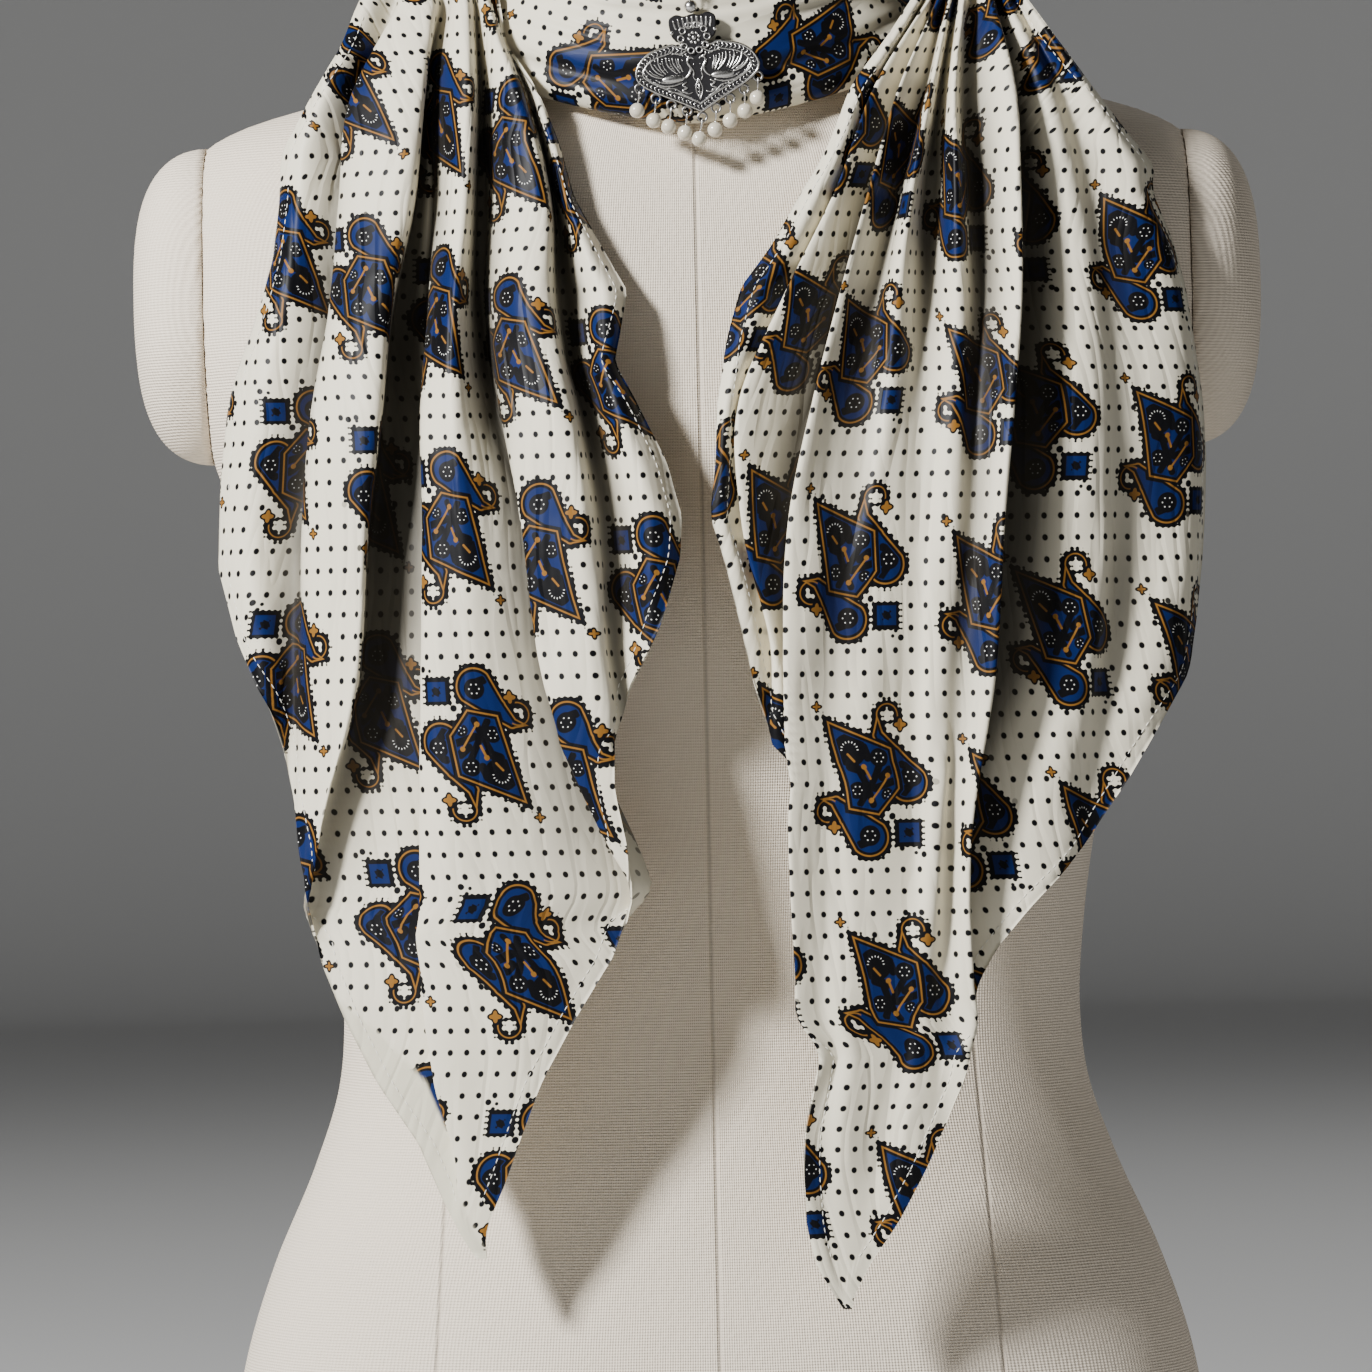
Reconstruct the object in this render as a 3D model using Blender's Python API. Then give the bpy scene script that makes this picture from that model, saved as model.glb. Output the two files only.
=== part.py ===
"""A printed square scarf wound round the neck of a limbless dress form, with a silver pendant.

The scarf is folded on its diagonal.  Its middle lies round the front of the neck as a gathered
band, both ends cross behind the neck and come forward over the shoulders, and they hang as two
pleated, pointed tails.  A cast pendant with nine pearls hangs from a ring sewn to the band.

Frame: metres, +Z up, the form faces -Y, the origin is the middle of the form's flat base.
Left and right are those of someone who looks at the front.
"""

import math

import bmesh
import bpy
import numpy as np

MM = 0.001

# ---------------------------------------------------------------- driving dimensions (mm)
SEAM_GAP = 0.3             # between pieces that meet
CLOTH_WALL = 1.0           # the cloth's wall in this model
SHARPEST_TURN = 0.65       # keeps the wall's mitres at the folds from growing long
FORM_HEIGHT = 640.0        # flat base to the top of the neck column
NECK_CAP_HEIGHT = 12.0
ARMHOLE_X = 186.0          # the flat armhole face, each side
ARM_CAP_REACH = 29.0       # how far an arm cap domes out from the armhole
BUST_HEIGHT = 395.0
BUST_SPREAD = 85.0         # apex to the centre line
BUST_SWELL = 9.0

FOLD_STEPS = 2             # mesh columns from one fold line to the next
TAIL_ROWS = 31             # mesh rows from a tail's tip to the top of the shoulder
NAPE_ROWS = 7
BAND_COLUMNS = 31          # along the band

PEARL_DIAMETER = 5.7
PLATE_THICKNESS = 2.2
WIRE = 0.9                 # diameter of the rings' wire
RING_RADIUS = 1.65         # of the cast rings, to the middle of their wire
RING_OVERHANG = 0.1        # from the plate's edge down to the middle of a ring's top wire
LINK_WIRE = 0.7
LINK_RADIUS = 1.2          # half the width of a pearl's link, to the middle of its wire
LINK_DROP = 3.0            # from the cast ring's wire down to the link's lowest wire
TOP_BEAD_DIAMETER = 5.0
SEWN_RING_RADIUS = 2.2
PENDANT_TILT = 5.0         # degrees, its right side sits higher
HINGE_HEIGHT = 596.0       # where the pendant hangs on its sewn ring
HINGE_FRONT = -97.5

# The form's sections: a row for each height.
# height, half width, front depth, back depth, squareness
FORM_SECTIONS = (
    (0.0, 188.0, 108.0, 118.0, 2.3),
    (45.0, 187.0, 107.0, 117.0, 2.3),
    (84.0, 181.0, 103.0, 112.0, 2.3),
    (120.0, 169.5, 97.0, 105.0, 2.3),
    (158.0, 153.0, 91.0, 97.0, 2.2),
    (187.0, 143.5, 87.0, 91.0, 2.2),
    (215.0, 141.0, 86.0, 89.0, 2.2),
    (245.0, 143.0, 88.0, 89.0, 2.2),
    (280.0, 148.0, 93.0, 91.0, 2.2),
    (320.0, 156.0, 100.0, 94.0, 2.2),
    (360.0, 166.0, 106.0, 97.0, 2.2),
    (395.0, 175.0, 108.0, 99.0, 2.2),
    (425.0, 185.5, 107.0, 101.0, 2.35),
    (445.0, 192.0, 104.0, 102.0, 2.6),
    (470.0, 198.0, 99.0, 103.0, 2.9),
    (495.0, 200.0, 94.0, 102.0, 3.0),
    (520.0, 199.0, 88.0, 98.0, 2.9),
    (538.0, 194.0, 82.0, 94.0, 2.6),
    (549.0, 184.0, 77.0, 89.0, 2.3),
    (556.0, 169.0, 72.0, 83.0, 2.1),
    (562.0, 148.0, 67.0, 76.0, 2.0),
    (568.0, 124.0, 63.0, 70.0, 2.0),
    (577.0, 96.0, 60.0, 65.0, 2.0),
    (589.0, 72.0, 57.0, 61.0, 2.0),
    (603.0, 61.0, 55.0, 59.0, 2.0),
    (622.0, 58.0, 54.0, 58.0, 2.0),
    (640.0, 57.0, 54.0, 58.0, 2.0),
)

# Heights at which the fold tables below give a fold's place.
LEVELS = (594.0, 560.0, 520.0, 480.0, 440.0, 400.0, 340.0, 280.0, 220.0, 150.0, 112.0)
# Heights at which they give how far it stands out.
OUT_LEVELS = (594.0, 520.0, 440.0, 340.0, 220.0)

# At the same heights, how many times deeper than the tables' numbers the folds are.
RIDGE_GROWTH = (1.3, 1.8, 1.9, 1.9, 1.8)
VALLEY_GROWTH = (1.0, 1.0, 1.4, 1.8, 1.8)

# Each row is one fold line of the left tail, from its outer hem to its inner hem:
# name, x at each of LEVELS, how far it stands out (+) or back (-) at each of OUT_LEVELS.
# Where x steps back from one fold to the next, the cloth is laid over itself as a knife pleat.
# A fold line runs on past the hem that cuts it.
LEFT_FOLDS = (
    ("outer hem",
     (-126, -143, -155, -163, -176, -180, -174, -176, -176, -140, -125), (0, 0, 0, 0, 0)),
    ("side swell",
     (-121, -137, -146, -153, -163, -168, -163, -166, -168, -135, -121), (3, 3, 3, 2, 0)),
    ("side valley",
     (-112.5, -123.5, -127, -131, -139, -148, -152, -156, -162, -130, -117), (-3, -7, -6, -2, 0)),
    ("second pleat, left",
     (-109.5, -127, -132, -136, -143, -146, -146, -150, -156, -126, -113), (3, 4, 4, 2, 1)),
    ("second pleat, right",
     (-98, -102, -107, -115, -119, -124, -129, -144, -150, -122, -109), (4, 6, 5, 5, 1)),
    ("second valley",
     (-94.5, -101, -104, -112, -116, -121, -126, -140, -145, -118, -105), (-4, -7, -7, -5, -1)),
    ("knife valley",
     (-91.5, -97.5, -98.5, -101, -97, -97, -99, -100, -101, -96, -93), (0, -1, -4, -5, -4)),
    ("knife ridge",
     (-89, -94, -95, -98, -102, -102.5, -104, -105.5, -105, -92, -89), (1, 2, 3, 3, 3)),
    ("third pleat, right",
     (-84, -83, -85, -89, -90, -88, -86, -80, -74, -82, -85), (4, 6, 4, 3, 2)),
    ("third valley",
     (-81, -79.5, -80, -80, -75, -62, -54, -29, -22, -40, -60), (-3, -7, -6, -5, -3)),
    ("fourth pleat, left",
     (-78.5, -73.5, -73, -74, -71, -66, -59, -38, -14, -34, -56), (3, 4, 4, 4, 1)),
    ("fourth pleat, right",
     (-76, -65, -56, -56, -49, -44, -40, -26, -8, -28, -50), (3, 5, 5, 3, 1)),
    ("inner valley",
     (-74, -62, -53, -50, -43, -36, -32, -18, -2, -22, -46), (-2, -5, -5, -3, 0)),
    ("inner edge",
     (-72, -59, -48, -36, -31, -20, -20, -12, 4, -16, -42), (2, 2, 3, 2, 1)),
    ("inner hem",
     (-70.5, -57, -44, -27, -22, -9, -8, -6, 10, -10, -38), (-2, -3, -3, -3, -2)),
)

# The same for the right tail, from its inner hem to its outer hem.
RIGHT_FOLDS = (
    ("inner hem", (83, 59, 41, 14.5, 6.5, 3, 15, 8, 0, -6, 0), (-1, 0, 0, -3, -4)),
    ("first swell", (85.5, 64, 47, 24, 11, 9, 20, 13, 6, 2, 8), (2, 3, 2, -3, -4)),
    ("first valley", (87.5, 70, 56, 36, 19, 17, 25, 19, 13, 10, 16), (-3, -5, -5, -5, -5)),
    ("second pleat, left", (89.5, 68, 52, 32, 15, 15, 27, 25, 22, 18, 24), (2, 3, 3, -3, -5)),
    ("second valley", (91.5, 80, 69, 57, 45, 37, 35, 40, 42, 28, 38), (-3, -5, -6, -6, -5)),
    ("front panel, left", (93, 77, 64, 52, 41, 32, 28.5, 29, 31, 32, 43), (3, 4, 4, 3, 2)),
    ("panel valley", (95, 86, 75, 65, 58, 52, 46, 43, 41, 39, 46), (-2, -4, -1, 0, 0)),
    ("panel swell", (97, 89, 80, 74, 70, 65, 59, 55, 52, 46, 49), (3, 4, 3, 2, 1)),
    ("third valley", (99, 92.5, 87, 84, 81, 79, 77, 73, 66, 55, 53), (-3, -5, -1, -1, 0)),
    ("fourth swell", (102, 97, 96.5, 96, 94, 91, 86, 81, 76, 66, 58), (3, 4, 3, 2, 1)),
    ("fourth valley", (105, 102, 104, 105, 102, 100, 94, 88, 86, 80, 66), (-4, -4, 0, 0, 0)),
    ("main pleat", (112, 119, 120, 119, 115, 110.5, 105.5, 95.5, 95, 92, 78), (4, 5.5, 6, 5, 3)),
    ("main valley", (114.5, 116.5, 115.5, 113, 109, 104, 100, 91, 94, 96, 84), (-4, -10, -7.5, -6, -2)),
    ("outer swell", (118, 130, 138, 142, 143, 142, 136, 122, 112, 104, 92), (2, 3, 3, 2, 0)),
    ("outer valley", (121, 137, 148, 155, 157, 156, 150, 137, 126, 112, 100), (-2, -2, -1, -1, -1)),
    ("outer ridge", (124.5, 145, 164, 177, 181, 181, 172, 154, 140, 120, 108), (2, 3, 3, 2, 0)),
    ("outer hem", (127, 149, 171, 183, 187.5, 187, 180, 166, 152, 130, 116), (-1, -2, -3, -1, 0)),
)

# The tails' outlines: a row for each height, with the x of both hems.
# height, outer hem, inner hem
LEFT_OUTLINE = (
    (594.0, -126.0, -72.0), (580.0, -131.0, -70.0), (560.0, -143.0, -58.0),
    (540.0, -154.0, -50.5), (520.0, -155.0, -45.5), (500.0, -157.5, -35.0),
    (484.0, -162.0, -26.5), (470.0, -167.0, -29.0), (457.0, -172.0, -31.5),
    (445.0, -175.0, -25.0), (420.0, -178.0, -13.0), (400.0, -179.0, -8.0),
    (385.0, -179.5, -9.0), (360.0, -173.0, -16.5), (335.0, -162.0, -28.5),
    (318.0, -156.5, -35.0), (300.0, -152.5, -34.0), (280.0, -150.0, -30.0),
    (260.0, -148.5, -29.0), (240.0, -144.0, -36.0), (218.0, -135.0, -50.0),
    (195.0, -124.0, -63.0), (172.0, -109.0, -72.0), (150.0, -100.0, -80.0),
    (138.0, -93.5, -84.5), (130.0, -88.0, -86.0),
)
# height, inner hem, outer hem
RIGHT_OUTLINE = (
    (594.0, 83.0, 125.0), (580.0, 74.0, 134.0), (560.0, 59.0, 148.0),
    (540.0, 51.0, 163.0), (530.0, 46.0, 171.5), (520.0, 39.5, 170.5),
    (500.0, 28.0, 178.0), (484.0, 16.0, 182.0), (465.0, 10.5, 184.5),
    (440.0, 6.5, 187.5), (420.0, 5.5, 188.0), (400.0, 3.0, 187.0),
    (383.0, 8.0, 185.5), (360.0, 13.0, 182.5), (340.0, 17.0, 179.0),
    (318.0, 24.0, 165.5), (300.0, 36.0, 154.5), (280.0, 38.0, 140.0),
    (258.0, 39.0, 120.0), (240.0, 40.0, 105.0), (226.0, 41.0, 97.0),
    (208.0, 40.0, 94.5), (193.0, 37.0, 92.0), (175.0, 33.0, 84.0),
    (160.0, 32.0, 77.0), (140.0, 33.0, 66.0), (126.0, 36.0, 56.0),
    (116.0, 41.0, 50.5), (109.0, 46.0, 48.0),
)

# How far forward a tail hangs in front of the form's middle: height, depth.
DRAPE = (
    (600.0, 60.0), (575.0, 78.0), (550.0, 87.4), (520.0, 95.7), (480.0, 111.5), (440.0, 126.0),
    (400.0, 132.5), (340.0, 135.0), (280.0, 134.0), (220.0, 132.0), (100.0, 127.0),
)
DRAPE_HALF_WIDTH = 215.0
DRAPE_SQUARENESS = 2.4
HEM_EASE = 2.5             # folds over which a section is eased to meet its hem
TIP_FADE = 90.0            # above a tail's tip, where the folds reach their full depth

# Over the shoulder and behind the neck: a row for each place, from the front to the far side.
# outer edge (x, y, z), inner edge (x, y, z), way out (x, y, z), share of the pleats' depth
LEFT_WRAP = (
    ((-117, -34, 612), (-76, -44, 622), (-0.35, -0.70, 0.62), 0.7),
    ((-106, 2, 625), (-74, -14, 641), (-0.50, -0.10, 0.86), 0.45),
    ((-93, 36, 606), (-72, 22, 640), (-0.76, 0.50, 0.42), 0.35),
    ((-64, 68, 583), (-56, 55, 613), (-0.55, 0.80, 0.20), 0.3),
    ((-14, 80, 590), (-14, 71, 619), (-0.10, 0.98, 0.20), 0.3),
    ((34, 66, 606), (32, 58, 638), (0.40, 0.90, 0.15), 0.3),
    ((60, 38, 612), (56, 32, 638), (0.80, 0.58, 0.10), 0.3),
)
RIGHT_WRAP = (
    ((117, -34, 612), (82, -44, 622), (0.35, -0.70, 0.62), 0.7),
    ((108, 4, 627), (80, -12, 643), (0.50, -0.10, 0.86), 0.45),
    ((96, 40, 606), (76, 26, 640), (0.76, 0.50, 0.42), 0.35),
    ((66, 78, 582), (60, 66, 618), (0.55, 0.80, 0.20), 0.3),
    ((16, 95, 590), (16, 86, 624), (0.10, 0.98, 0.20), 0.3),
    ((-30, 79, 625), (-28, 71, 647), (-0.40, 0.90, 0.15), 0.25),
    ((-58, 44, 624), (-54, 36, 645), (-0.80, 0.58, 0.10), 0.25),
)

# The neck band's section, from the hidden turned-in edge below to the one above.
# share of the band's height, mm out from the band's own front line (+ is out)
BAND_SECTION = (
    (0.34, -15.0), (0.16, -14.8), (0.05, -12.3), (0.0, -4.5), (0.07, 0.2), (0.22, 1.6), (0.36, 1.9),
    (0.50, 0.6), (0.61, 1.0), (0.72, -1.0), (0.80, 3.2), (0.86, 1.0), (0.92, 0.4), (0.98, -4.0),
    (1.0, -8.5), (0.90, -12.0),
)
BAND_LOW_HALF_WIDTH = 104.0
BAND_TOP_HALF_WIDTH = 76.0
BAND_FRONT = 93.0
BAND_REACH = 92.0          # degrees from the front to each end
BAND_LOW = 547.5           # the band's lower edge in front
BAND_TOP = 613.0
BAND_RISE = 45.0           # how far the lower edge rises towards the ends
BAND_TOP_RISE = 12.0
BAND_RISE_POWER = 0.76     # how soon it rises

# The pendant's plate, half of its outline in its own plane, from the top to the bottom point.
# x from its middle line, z from the plate's top
PLATE_OUTLINE = (
    (2.6, 0.6), (4.6, -1.0), (6.2, -1.8), (8.2, -0.9), (10.2, -1.2), (12.0, -1.7), (14.5, -2.2),
    (17.6, -3.4), (20.4, -5.4), (22.4, -8.0), (23.3, -10.8), (22.8, -13.4), (20.4, -16.0),
    (16.0, -18.8), (11.0, -21.4), (6.0, -24.0), (2.4, -26.0), (0.0, -27.2),
)
# The same for the crown that stands on the plate, z from the crown's base.
CROWN_OUTLINE = (
    (0.0, 10.0), (3.0, 9.4), (5.8, 10.2), (8.2, 9.2), (8.6, 4.6), (7.6, 1.4), (5.4, 0.2),
    (3.2, 0.0), (0.0, 0.4),
)
CROWN_RELIEF = 0.6         # how far the crown's front stands before the plate's
CROWN_BASE = 576.9         # just below the plate's top, as both are one casting
PLATE_TOP = 577.5          # world height of the plate's top
PLATE_MIDDLE = -1.0        # world x of the plate's top
RING_PLACES = (-22.0, -16.4, -10.9, -5.4, 0.0, 5.4, 10.9, 16.4, 22.0)
# how each pearl leans from the plumb line, degrees, left to right
PEARL_LEANS = (-9.0, -8.0, -10.0, -8.0, -11.0, -5.0, -2.0, 0.0, -4.0)


# ---------------------------------------------------------------- curves and surfaces
def flow(knots, values, places):
    """Smooth values along knots: cubic pieces whose slopes are the neighbours' own."""
    knots = np.asarray(knots, float)
    values = np.asarray(values, float)
    if knots[0] > knots[-1]:
        knots = knots[::-1]
        values = values[::-1]
    places = np.clip(np.asarray(places, float), knots[0], knots[-1])
    slopes = np.gradient(values, knots, axis=0)
    index = np.clip(np.searchsorted(knots, places, side="right") - 1, 0, len(knots) - 2)
    width = knots[index + 1] - knots[index]
    t = (places - knots[index]) / width
    shape = t.shape + (1,) * (values.ndim - 1)
    t = t.reshape(shape)
    width = width.reshape(shape)
    start = values[index] * (1 + 2 * t) * (1 - t) ** 2 + slopes[index] * width * t * (1 - t) ** 2
    end = values[index + 1] * t * t * (3 - 2 * t) + slopes[index + 1] * width * t * t * (t - 1)
    return start + end


def rounded(values):
    """Each value drawn half way to its two neighbours' mean, twice, to round a fold's turn."""
    for _ in range(2):
        middle = values[1:-1] / 2 + (values[:-2] + values[2:]) / 4
        values = np.concatenate([values[:1], middle, values[-1:]])
    return values


def grid_offsets(points):
    """At each point of a grid, the mean of its faces' unit normals, lengthened at a fold's turn."""
    along = points[1:, 1:] - points[:-1, :-1]
    across = points[:-1, 1:] - points[1:, :-1]
    normals = np.cross(along, across)
    normals = normals / np.linalg.norm(normals, axis=2, keepdims=True)
    padded = np.pad(normals, ((1, 1), (1, 1), (0, 0)), mode="edge")
    mean = (padded[:-1, :-1] + padded[1:, :-1] + padded[:-1, 1:] + padded[1:, 1:]) / 4
    length = np.linalg.norm(mean, axis=2, keepdims=True)
    return mean / length / np.maximum(length, SHARPEST_TURN)


def cloth_wall(points, offsets):
    """Vertices and faces of a closed wall of cloth, half its thickness each side of a grid."""
    rows, columns = points.shape[:2]
    shift = offsets * CLOTH_WALL / 2
    vertices = np.concatenate([(points + shift).reshape(-1, 3), (points - shift).reshape(-1, 3)])
    number = np.arange(rows * columns).reshape(rows, columns)
    back = number + rows * columns
    front_faces = np.stack([number[:-1, :-1], number[1:, :-1], number[1:, 1:], number[:-1, 1:]], -1)
    faces = [front_faces.reshape(-1, 4), (front_faces + rows * columns)[..., ::-1].reshape(-1, 4)]
    edge = np.concatenate([number[0, :], number[1:, -1], number[-1, -2::-1], number[-2:0:-1, 0]])
    rim = np.concatenate([back[0, :], back[1:, -1], back[-1, -2::-1], back[-2:0:-1, 0]])
    next_edge = np.roll(edge, -1)
    next_rim = np.roll(rim, -1)
    faces.append(np.stack([edge, next_edge, next_rim, rim], -1))
    return vertices, np.concatenate(faces)


# ---------------------------------------------------------------- objects and materials
def clear_scene():
    for thing in list(bpy.data.objects):
        bpy.data.objects.remove(thing, do_unlink=True)


def material(name, colour, roughness, metallic=0.0):
    made = bpy.data.materials.new(name)
    made.use_nodes = True
    shader = made.node_tree.nodes["Principled BSDF"]
    shader.inputs["Base Color"].default_value = (*colour, 1.0)
    shader.inputs["Roughness"].default_value = roughness
    shader.inputs["Metallic"].default_value = metallic
    return made


def add_object(name, vertices, faces, finish, smooth=True):
    """A mesh object from vertices in millimetres, with its faces turned outward."""
    mesh = bpy.data.meshes.new(name)
    mesh.from_pydata((np.asarray(vertices) * MM).tolist(), [], [list(face) for face in faces])
    work = bmesh.new()
    work.from_mesh(mesh)
    bmesh.ops.recalc_face_normals(work, faces=work.faces)
    work.to_mesh(mesh)
    work.free()
    mesh.materials.append(finish)
    if smooth:
        mesh.shade_smooth()
        mesh.set_sharp_from_angle(angle=math.radians(40))
    thing = bpy.data.objects.new(name, mesh)
    bpy.context.scene.collection.objects.link(thing)
    return thing


def join_by_union(thing, others):
    """Fuse other solids into one with Boolean unions, and hide the helpers."""
    for other in others:
        union = thing.modifiers.new("union " + other.name, "BOOLEAN")
        union.operation = "UNION"
        union.solver = "EXACT"
        union.object = other
        other.hide_render = True
        other.display_type = "WIRE"


# ---------------------------------------------------------------- the dress form
def closed_rings(rings):
    """Vertices and faces of a solid through rings of equal length, with flat ends."""
    count, sides = rings.shape[:2]
    number = np.arange(count * sides).reshape(count, sides)
    turned = np.roll(number, -1, axis=1)
    walls = np.stack([number[:-1], turned[:-1], turned[1:], number[1:]], -1).reshape(-1, 4)
    faces = walls.tolist()
    faces.append(number[0, ::-1].tolist())
    faces.append(number[-1].tolist())
    return rings.reshape(-1, 3), faces


def superellipse(half_width, front, back, squareness, sides):
    """Points round a rounded section, the front towards -Y."""
    angle = np.linspace(0, 2 * math.pi, sides, endpoint=False)
    power = 2 / squareness
    x = half_width * np.sign(np.cos(angle)) * np.abs(np.cos(angle)) ** power
    depth = np.where(np.sin(angle) < 0, front, back)
    y = depth * np.sign(np.sin(angle)) * np.abs(np.sin(angle)) ** power
    return x, y


def make_torso(canvas):
    """The torso and neck: one ring for each row of the table, armholes cut flat."""
    sides = 36
    rings = []
    for height, half_width, front, back, squareness in FORM_SECTIONS:
        x, y = superellipse(half_width, front, back, squareness, sides)
        swell = np.exp(-((np.abs(x) - BUST_SPREAD) / 55) ** 2 - ((height - BUST_HEIGHT) / 62) ** 2)
        y = np.where(y < 0, y - BUST_SWELL * swell * np.minimum(1, -y / 40), y)
        x = np.clip(x, -ARMHOLE_X, ARMHOLE_X)
        rings.append(np.stack([x, y, np.full(sides, height)], 1))
    vertices, faces = closed_rings(np.array(rings))
    return add_object("form_torso", vertices, faces, canvas)


def make_neck_cap(canvas):
    """A shallow domed cap on the neck column."""
    sides = 28
    rings = []
    base = FORM_HEIGHT + SEAM_GAP
    for share, rise in ((1.0, 0.0), (1.0, 0.45), (0.93, 0.8), (0.7, 0.96), (0.35, 1.0)):
        x, y = superellipse(58 * share, 55 * share, 59 * share, 2.0, sides)
        rings.append(np.stack([x, y, np.full(sides, base + rise * NECK_CAP_HEIGHT)], 1))
    vertices, faces = closed_rings(np.array(rings))
    return add_object("form_neck_cap", vertices, faces, canvas)


def armhole_edge(angle):
    """Where the torso meets the flat armhole: y and z, at turns round the armhole."""
    table = np.array(FORM_SECTIONS)
    fine = np.linspace(BUST_HEIGHT, FORM_HEIGHT, 1000)
    wide = fine[flow(table[:, 0], table[:, 1], fine) > ARMHOLE_X]
    z = (wide[0] + wide[-1]) / 2 + (wide[-1] - wide[0]) / 2 * np.sin(angle)
    half_width, front, back, squareness = flow(table[:, 0], table[:, 1:], z).T
    share = np.minimum(ARMHOLE_X / half_width, 1) ** squareness
    y = np.where(np.cos(angle) > 0, back, -front) * (1 - share) ** (1 / squareness)
    return np.column_stack([y, z])


def make_arm_cap(name, side, canvas):
    """A domed cap over an armhole: copies of its edge that shrink outward, on a flat face."""
    sides = 24
    rim = armhole_edge(np.linspace(0, 2 * math.pi, sides, endpoint=False))
    middle = rim.mean(0)
    rings = []
    for turn in (0, 22, 43, 62, 78):
        share = math.cos(math.radians(turn)) ** 0.62
        out = ARM_CAP_REACH * math.sin(math.radians(turn)) ** 0.9
        ring = middle + (rim - middle) * share
        x = np.full(sides, side * (ARMHOLE_X + SEAM_GAP + out))
        rings.append(np.column_stack([x, ring]))
    vertices, faces = closed_rings(np.array(rings))
    return add_object(name, vertices, faces, canvas)


# ---------------------------------------------------------------- the scarf
def drape_depth(x, z):
    """How far in front of the form's middle plane the hanging cloth lies."""
    table = np.array(DRAPE)
    depth = flow(table[:, 0], table[:, 1], z)
    share = np.clip(np.abs(x) / DRAPE_HALF_WIDTH, 0, 0.999)
    return depth * (1 - share ** DRAPE_SQUARENESS) ** (1 / DRAPE_SQUARENESS)


def hem_places(fold_x, hem_x, from_start):
    """The fold coordinate where each row meets its hem, smoothed down the tail."""
    fine = np.linspace(0, fold_x.shape[1] - 1, (fold_x.shape[1] - 1) * 24 + 1)
    section = flow(np.arange(fold_x.shape[1]), fold_x.T, fine).T
    if from_start:
        inside = section >= hem_x[:, None]
        index = inside.argmax(axis=1)
    else:
        inside = section <= hem_x[:, None]
        index = section.shape[1] - 1 - inside[:, ::-1].argmax(axis=1)
    place = fine[index]
    padded = np.pad(place, 2, mode="edge")
    return (padded[:-4] + padded[1:-3] * 2 + padded[2:-2] * 3 + padded[3:-1] * 2 + padded[4:]) / 9


def tail_front(folds, outline, columns, heights):
    """The hanging part of a tail: a grid with a row for each height, from hem to hem."""
    fold_x = np.array([flow(LEVELS, fold[1], heights) for fold in folds]).T
    fold_out = np.array([flow(OUT_LEVELS, fold[2], heights) for fold in folds]).T
    ridge = flow(OUT_LEVELS, RIDGE_GROWTH, heights)[:, None]
    valley = flow(OUT_LEVELS, VALLEY_GROWTH, heights)[:, None]
    fold_out = fold_out * np.where(fold_out > 0, ridge, valley)
    hems = np.array(sorted(outline))
    first = np.interp(heights, hems[:, 0], hems[:, 1])
    last = np.interp(heights, hems[:, 0], hems[:, 2])
    start = hem_places(fold_x, first, True)
    end = hem_places(fold_x, last, False)
    share = np.linspace(0, 1, columns)
    grid = np.empty((len(heights), columns, 3))
    numbers = np.arange(len(folds))
    for row in range(len(heights)):
        place = start[row] + (end[row] - start[row]) * share
        x = flow(numbers, fold_x[row], place)
        out = flow(numbers, fold_out[row], place)
        left_miss = (first[row] - x[0]) * np.clip(1 - (place - start[row]) / HEM_EASE, 0, 1)
        right_miss = (last[row] - x[-1]) * np.clip(1 - (end[row] - place) / HEM_EASE, 0, 1)
        x = rounded(x + left_miss + right_miss)
        out = rounded(out)
        flatter = min(1.0, 0.1 + (heights[row] - heights[0]) / TIP_FADE)
        depth = drape_depth(x, np.full(columns, heights[row])) + out * flatter
        grid[row] = np.stack([x, -depth, np.full(columns, heights[row])], 1)
    return grid


def tail_sheet(folds, outline, wrap, outer_first, columns, rows):
    """A whole tail: from its tip up the front, over the shoulder and behind the neck."""
    tip = outline[-1][0]
    steps = np.linspace(0, 1, 30)
    heights = tip + (LEVELS[0] - tip) * steps
    front = tail_front(folds, outline, columns, heights)
    share = np.linspace(0, 1, columns)[:, None]
    top_out = flow(np.arange(len(folds)), [fold[2][0] for fold in folds], share[:, 0] * (len(folds) - 1))
    over = []
    for outer, inner, way_out, pleat_share in wrap:
        first, last = (outer, inner) if outer_first else (inner, outer)
        line = np.array(first) * (1 - share) + np.array(last) * share
        over.append(line + top_out[:, None] * np.array(way_out) * pleat_share)
    sheet = np.concatenate([front, np.array(over)])
    middle = sheet[:, columns // 2]
    gone = np.concatenate([[0], np.cumsum(np.linalg.norm(np.diff(middle, axis=0), axis=1))])
    return flow(gone, sheet, np.linspace(0, gone[-1], rows))


def make_tail(side, folds, outline, wrap, silk):
    """A tail and the stretch that follows it behind the neck, as two solids that meet."""
    outer_first = side == "left"
    rows = TAIL_ROWS + NAPE_ROWS
    columns = (len(folds) - 1) * FOLD_STEPS + 1
    sheet = tail_sheet(folds, outline, wrap, outer_first, columns, rows)
    offsets = grid_offsets(sheet)
    nape = sheet[TAIL_ROWS - 1:].copy()
    step = nape[1] - nape[0]
    nape[0] += step * SEAM_GAP / np.linalg.norm(step, axis=1, keepdims=True)
    add_object("scarf_tail_" + side, *cloth_wall(sheet[:TAIL_ROWS], offsets[:TAIL_ROWS]), silk)
    layer = "under" if side == "left" else "over"
    add_object("scarf_nape_" + layer, *cloth_wall(nape, offsets[TAIL_ROWS - 1:]), silk)


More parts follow.
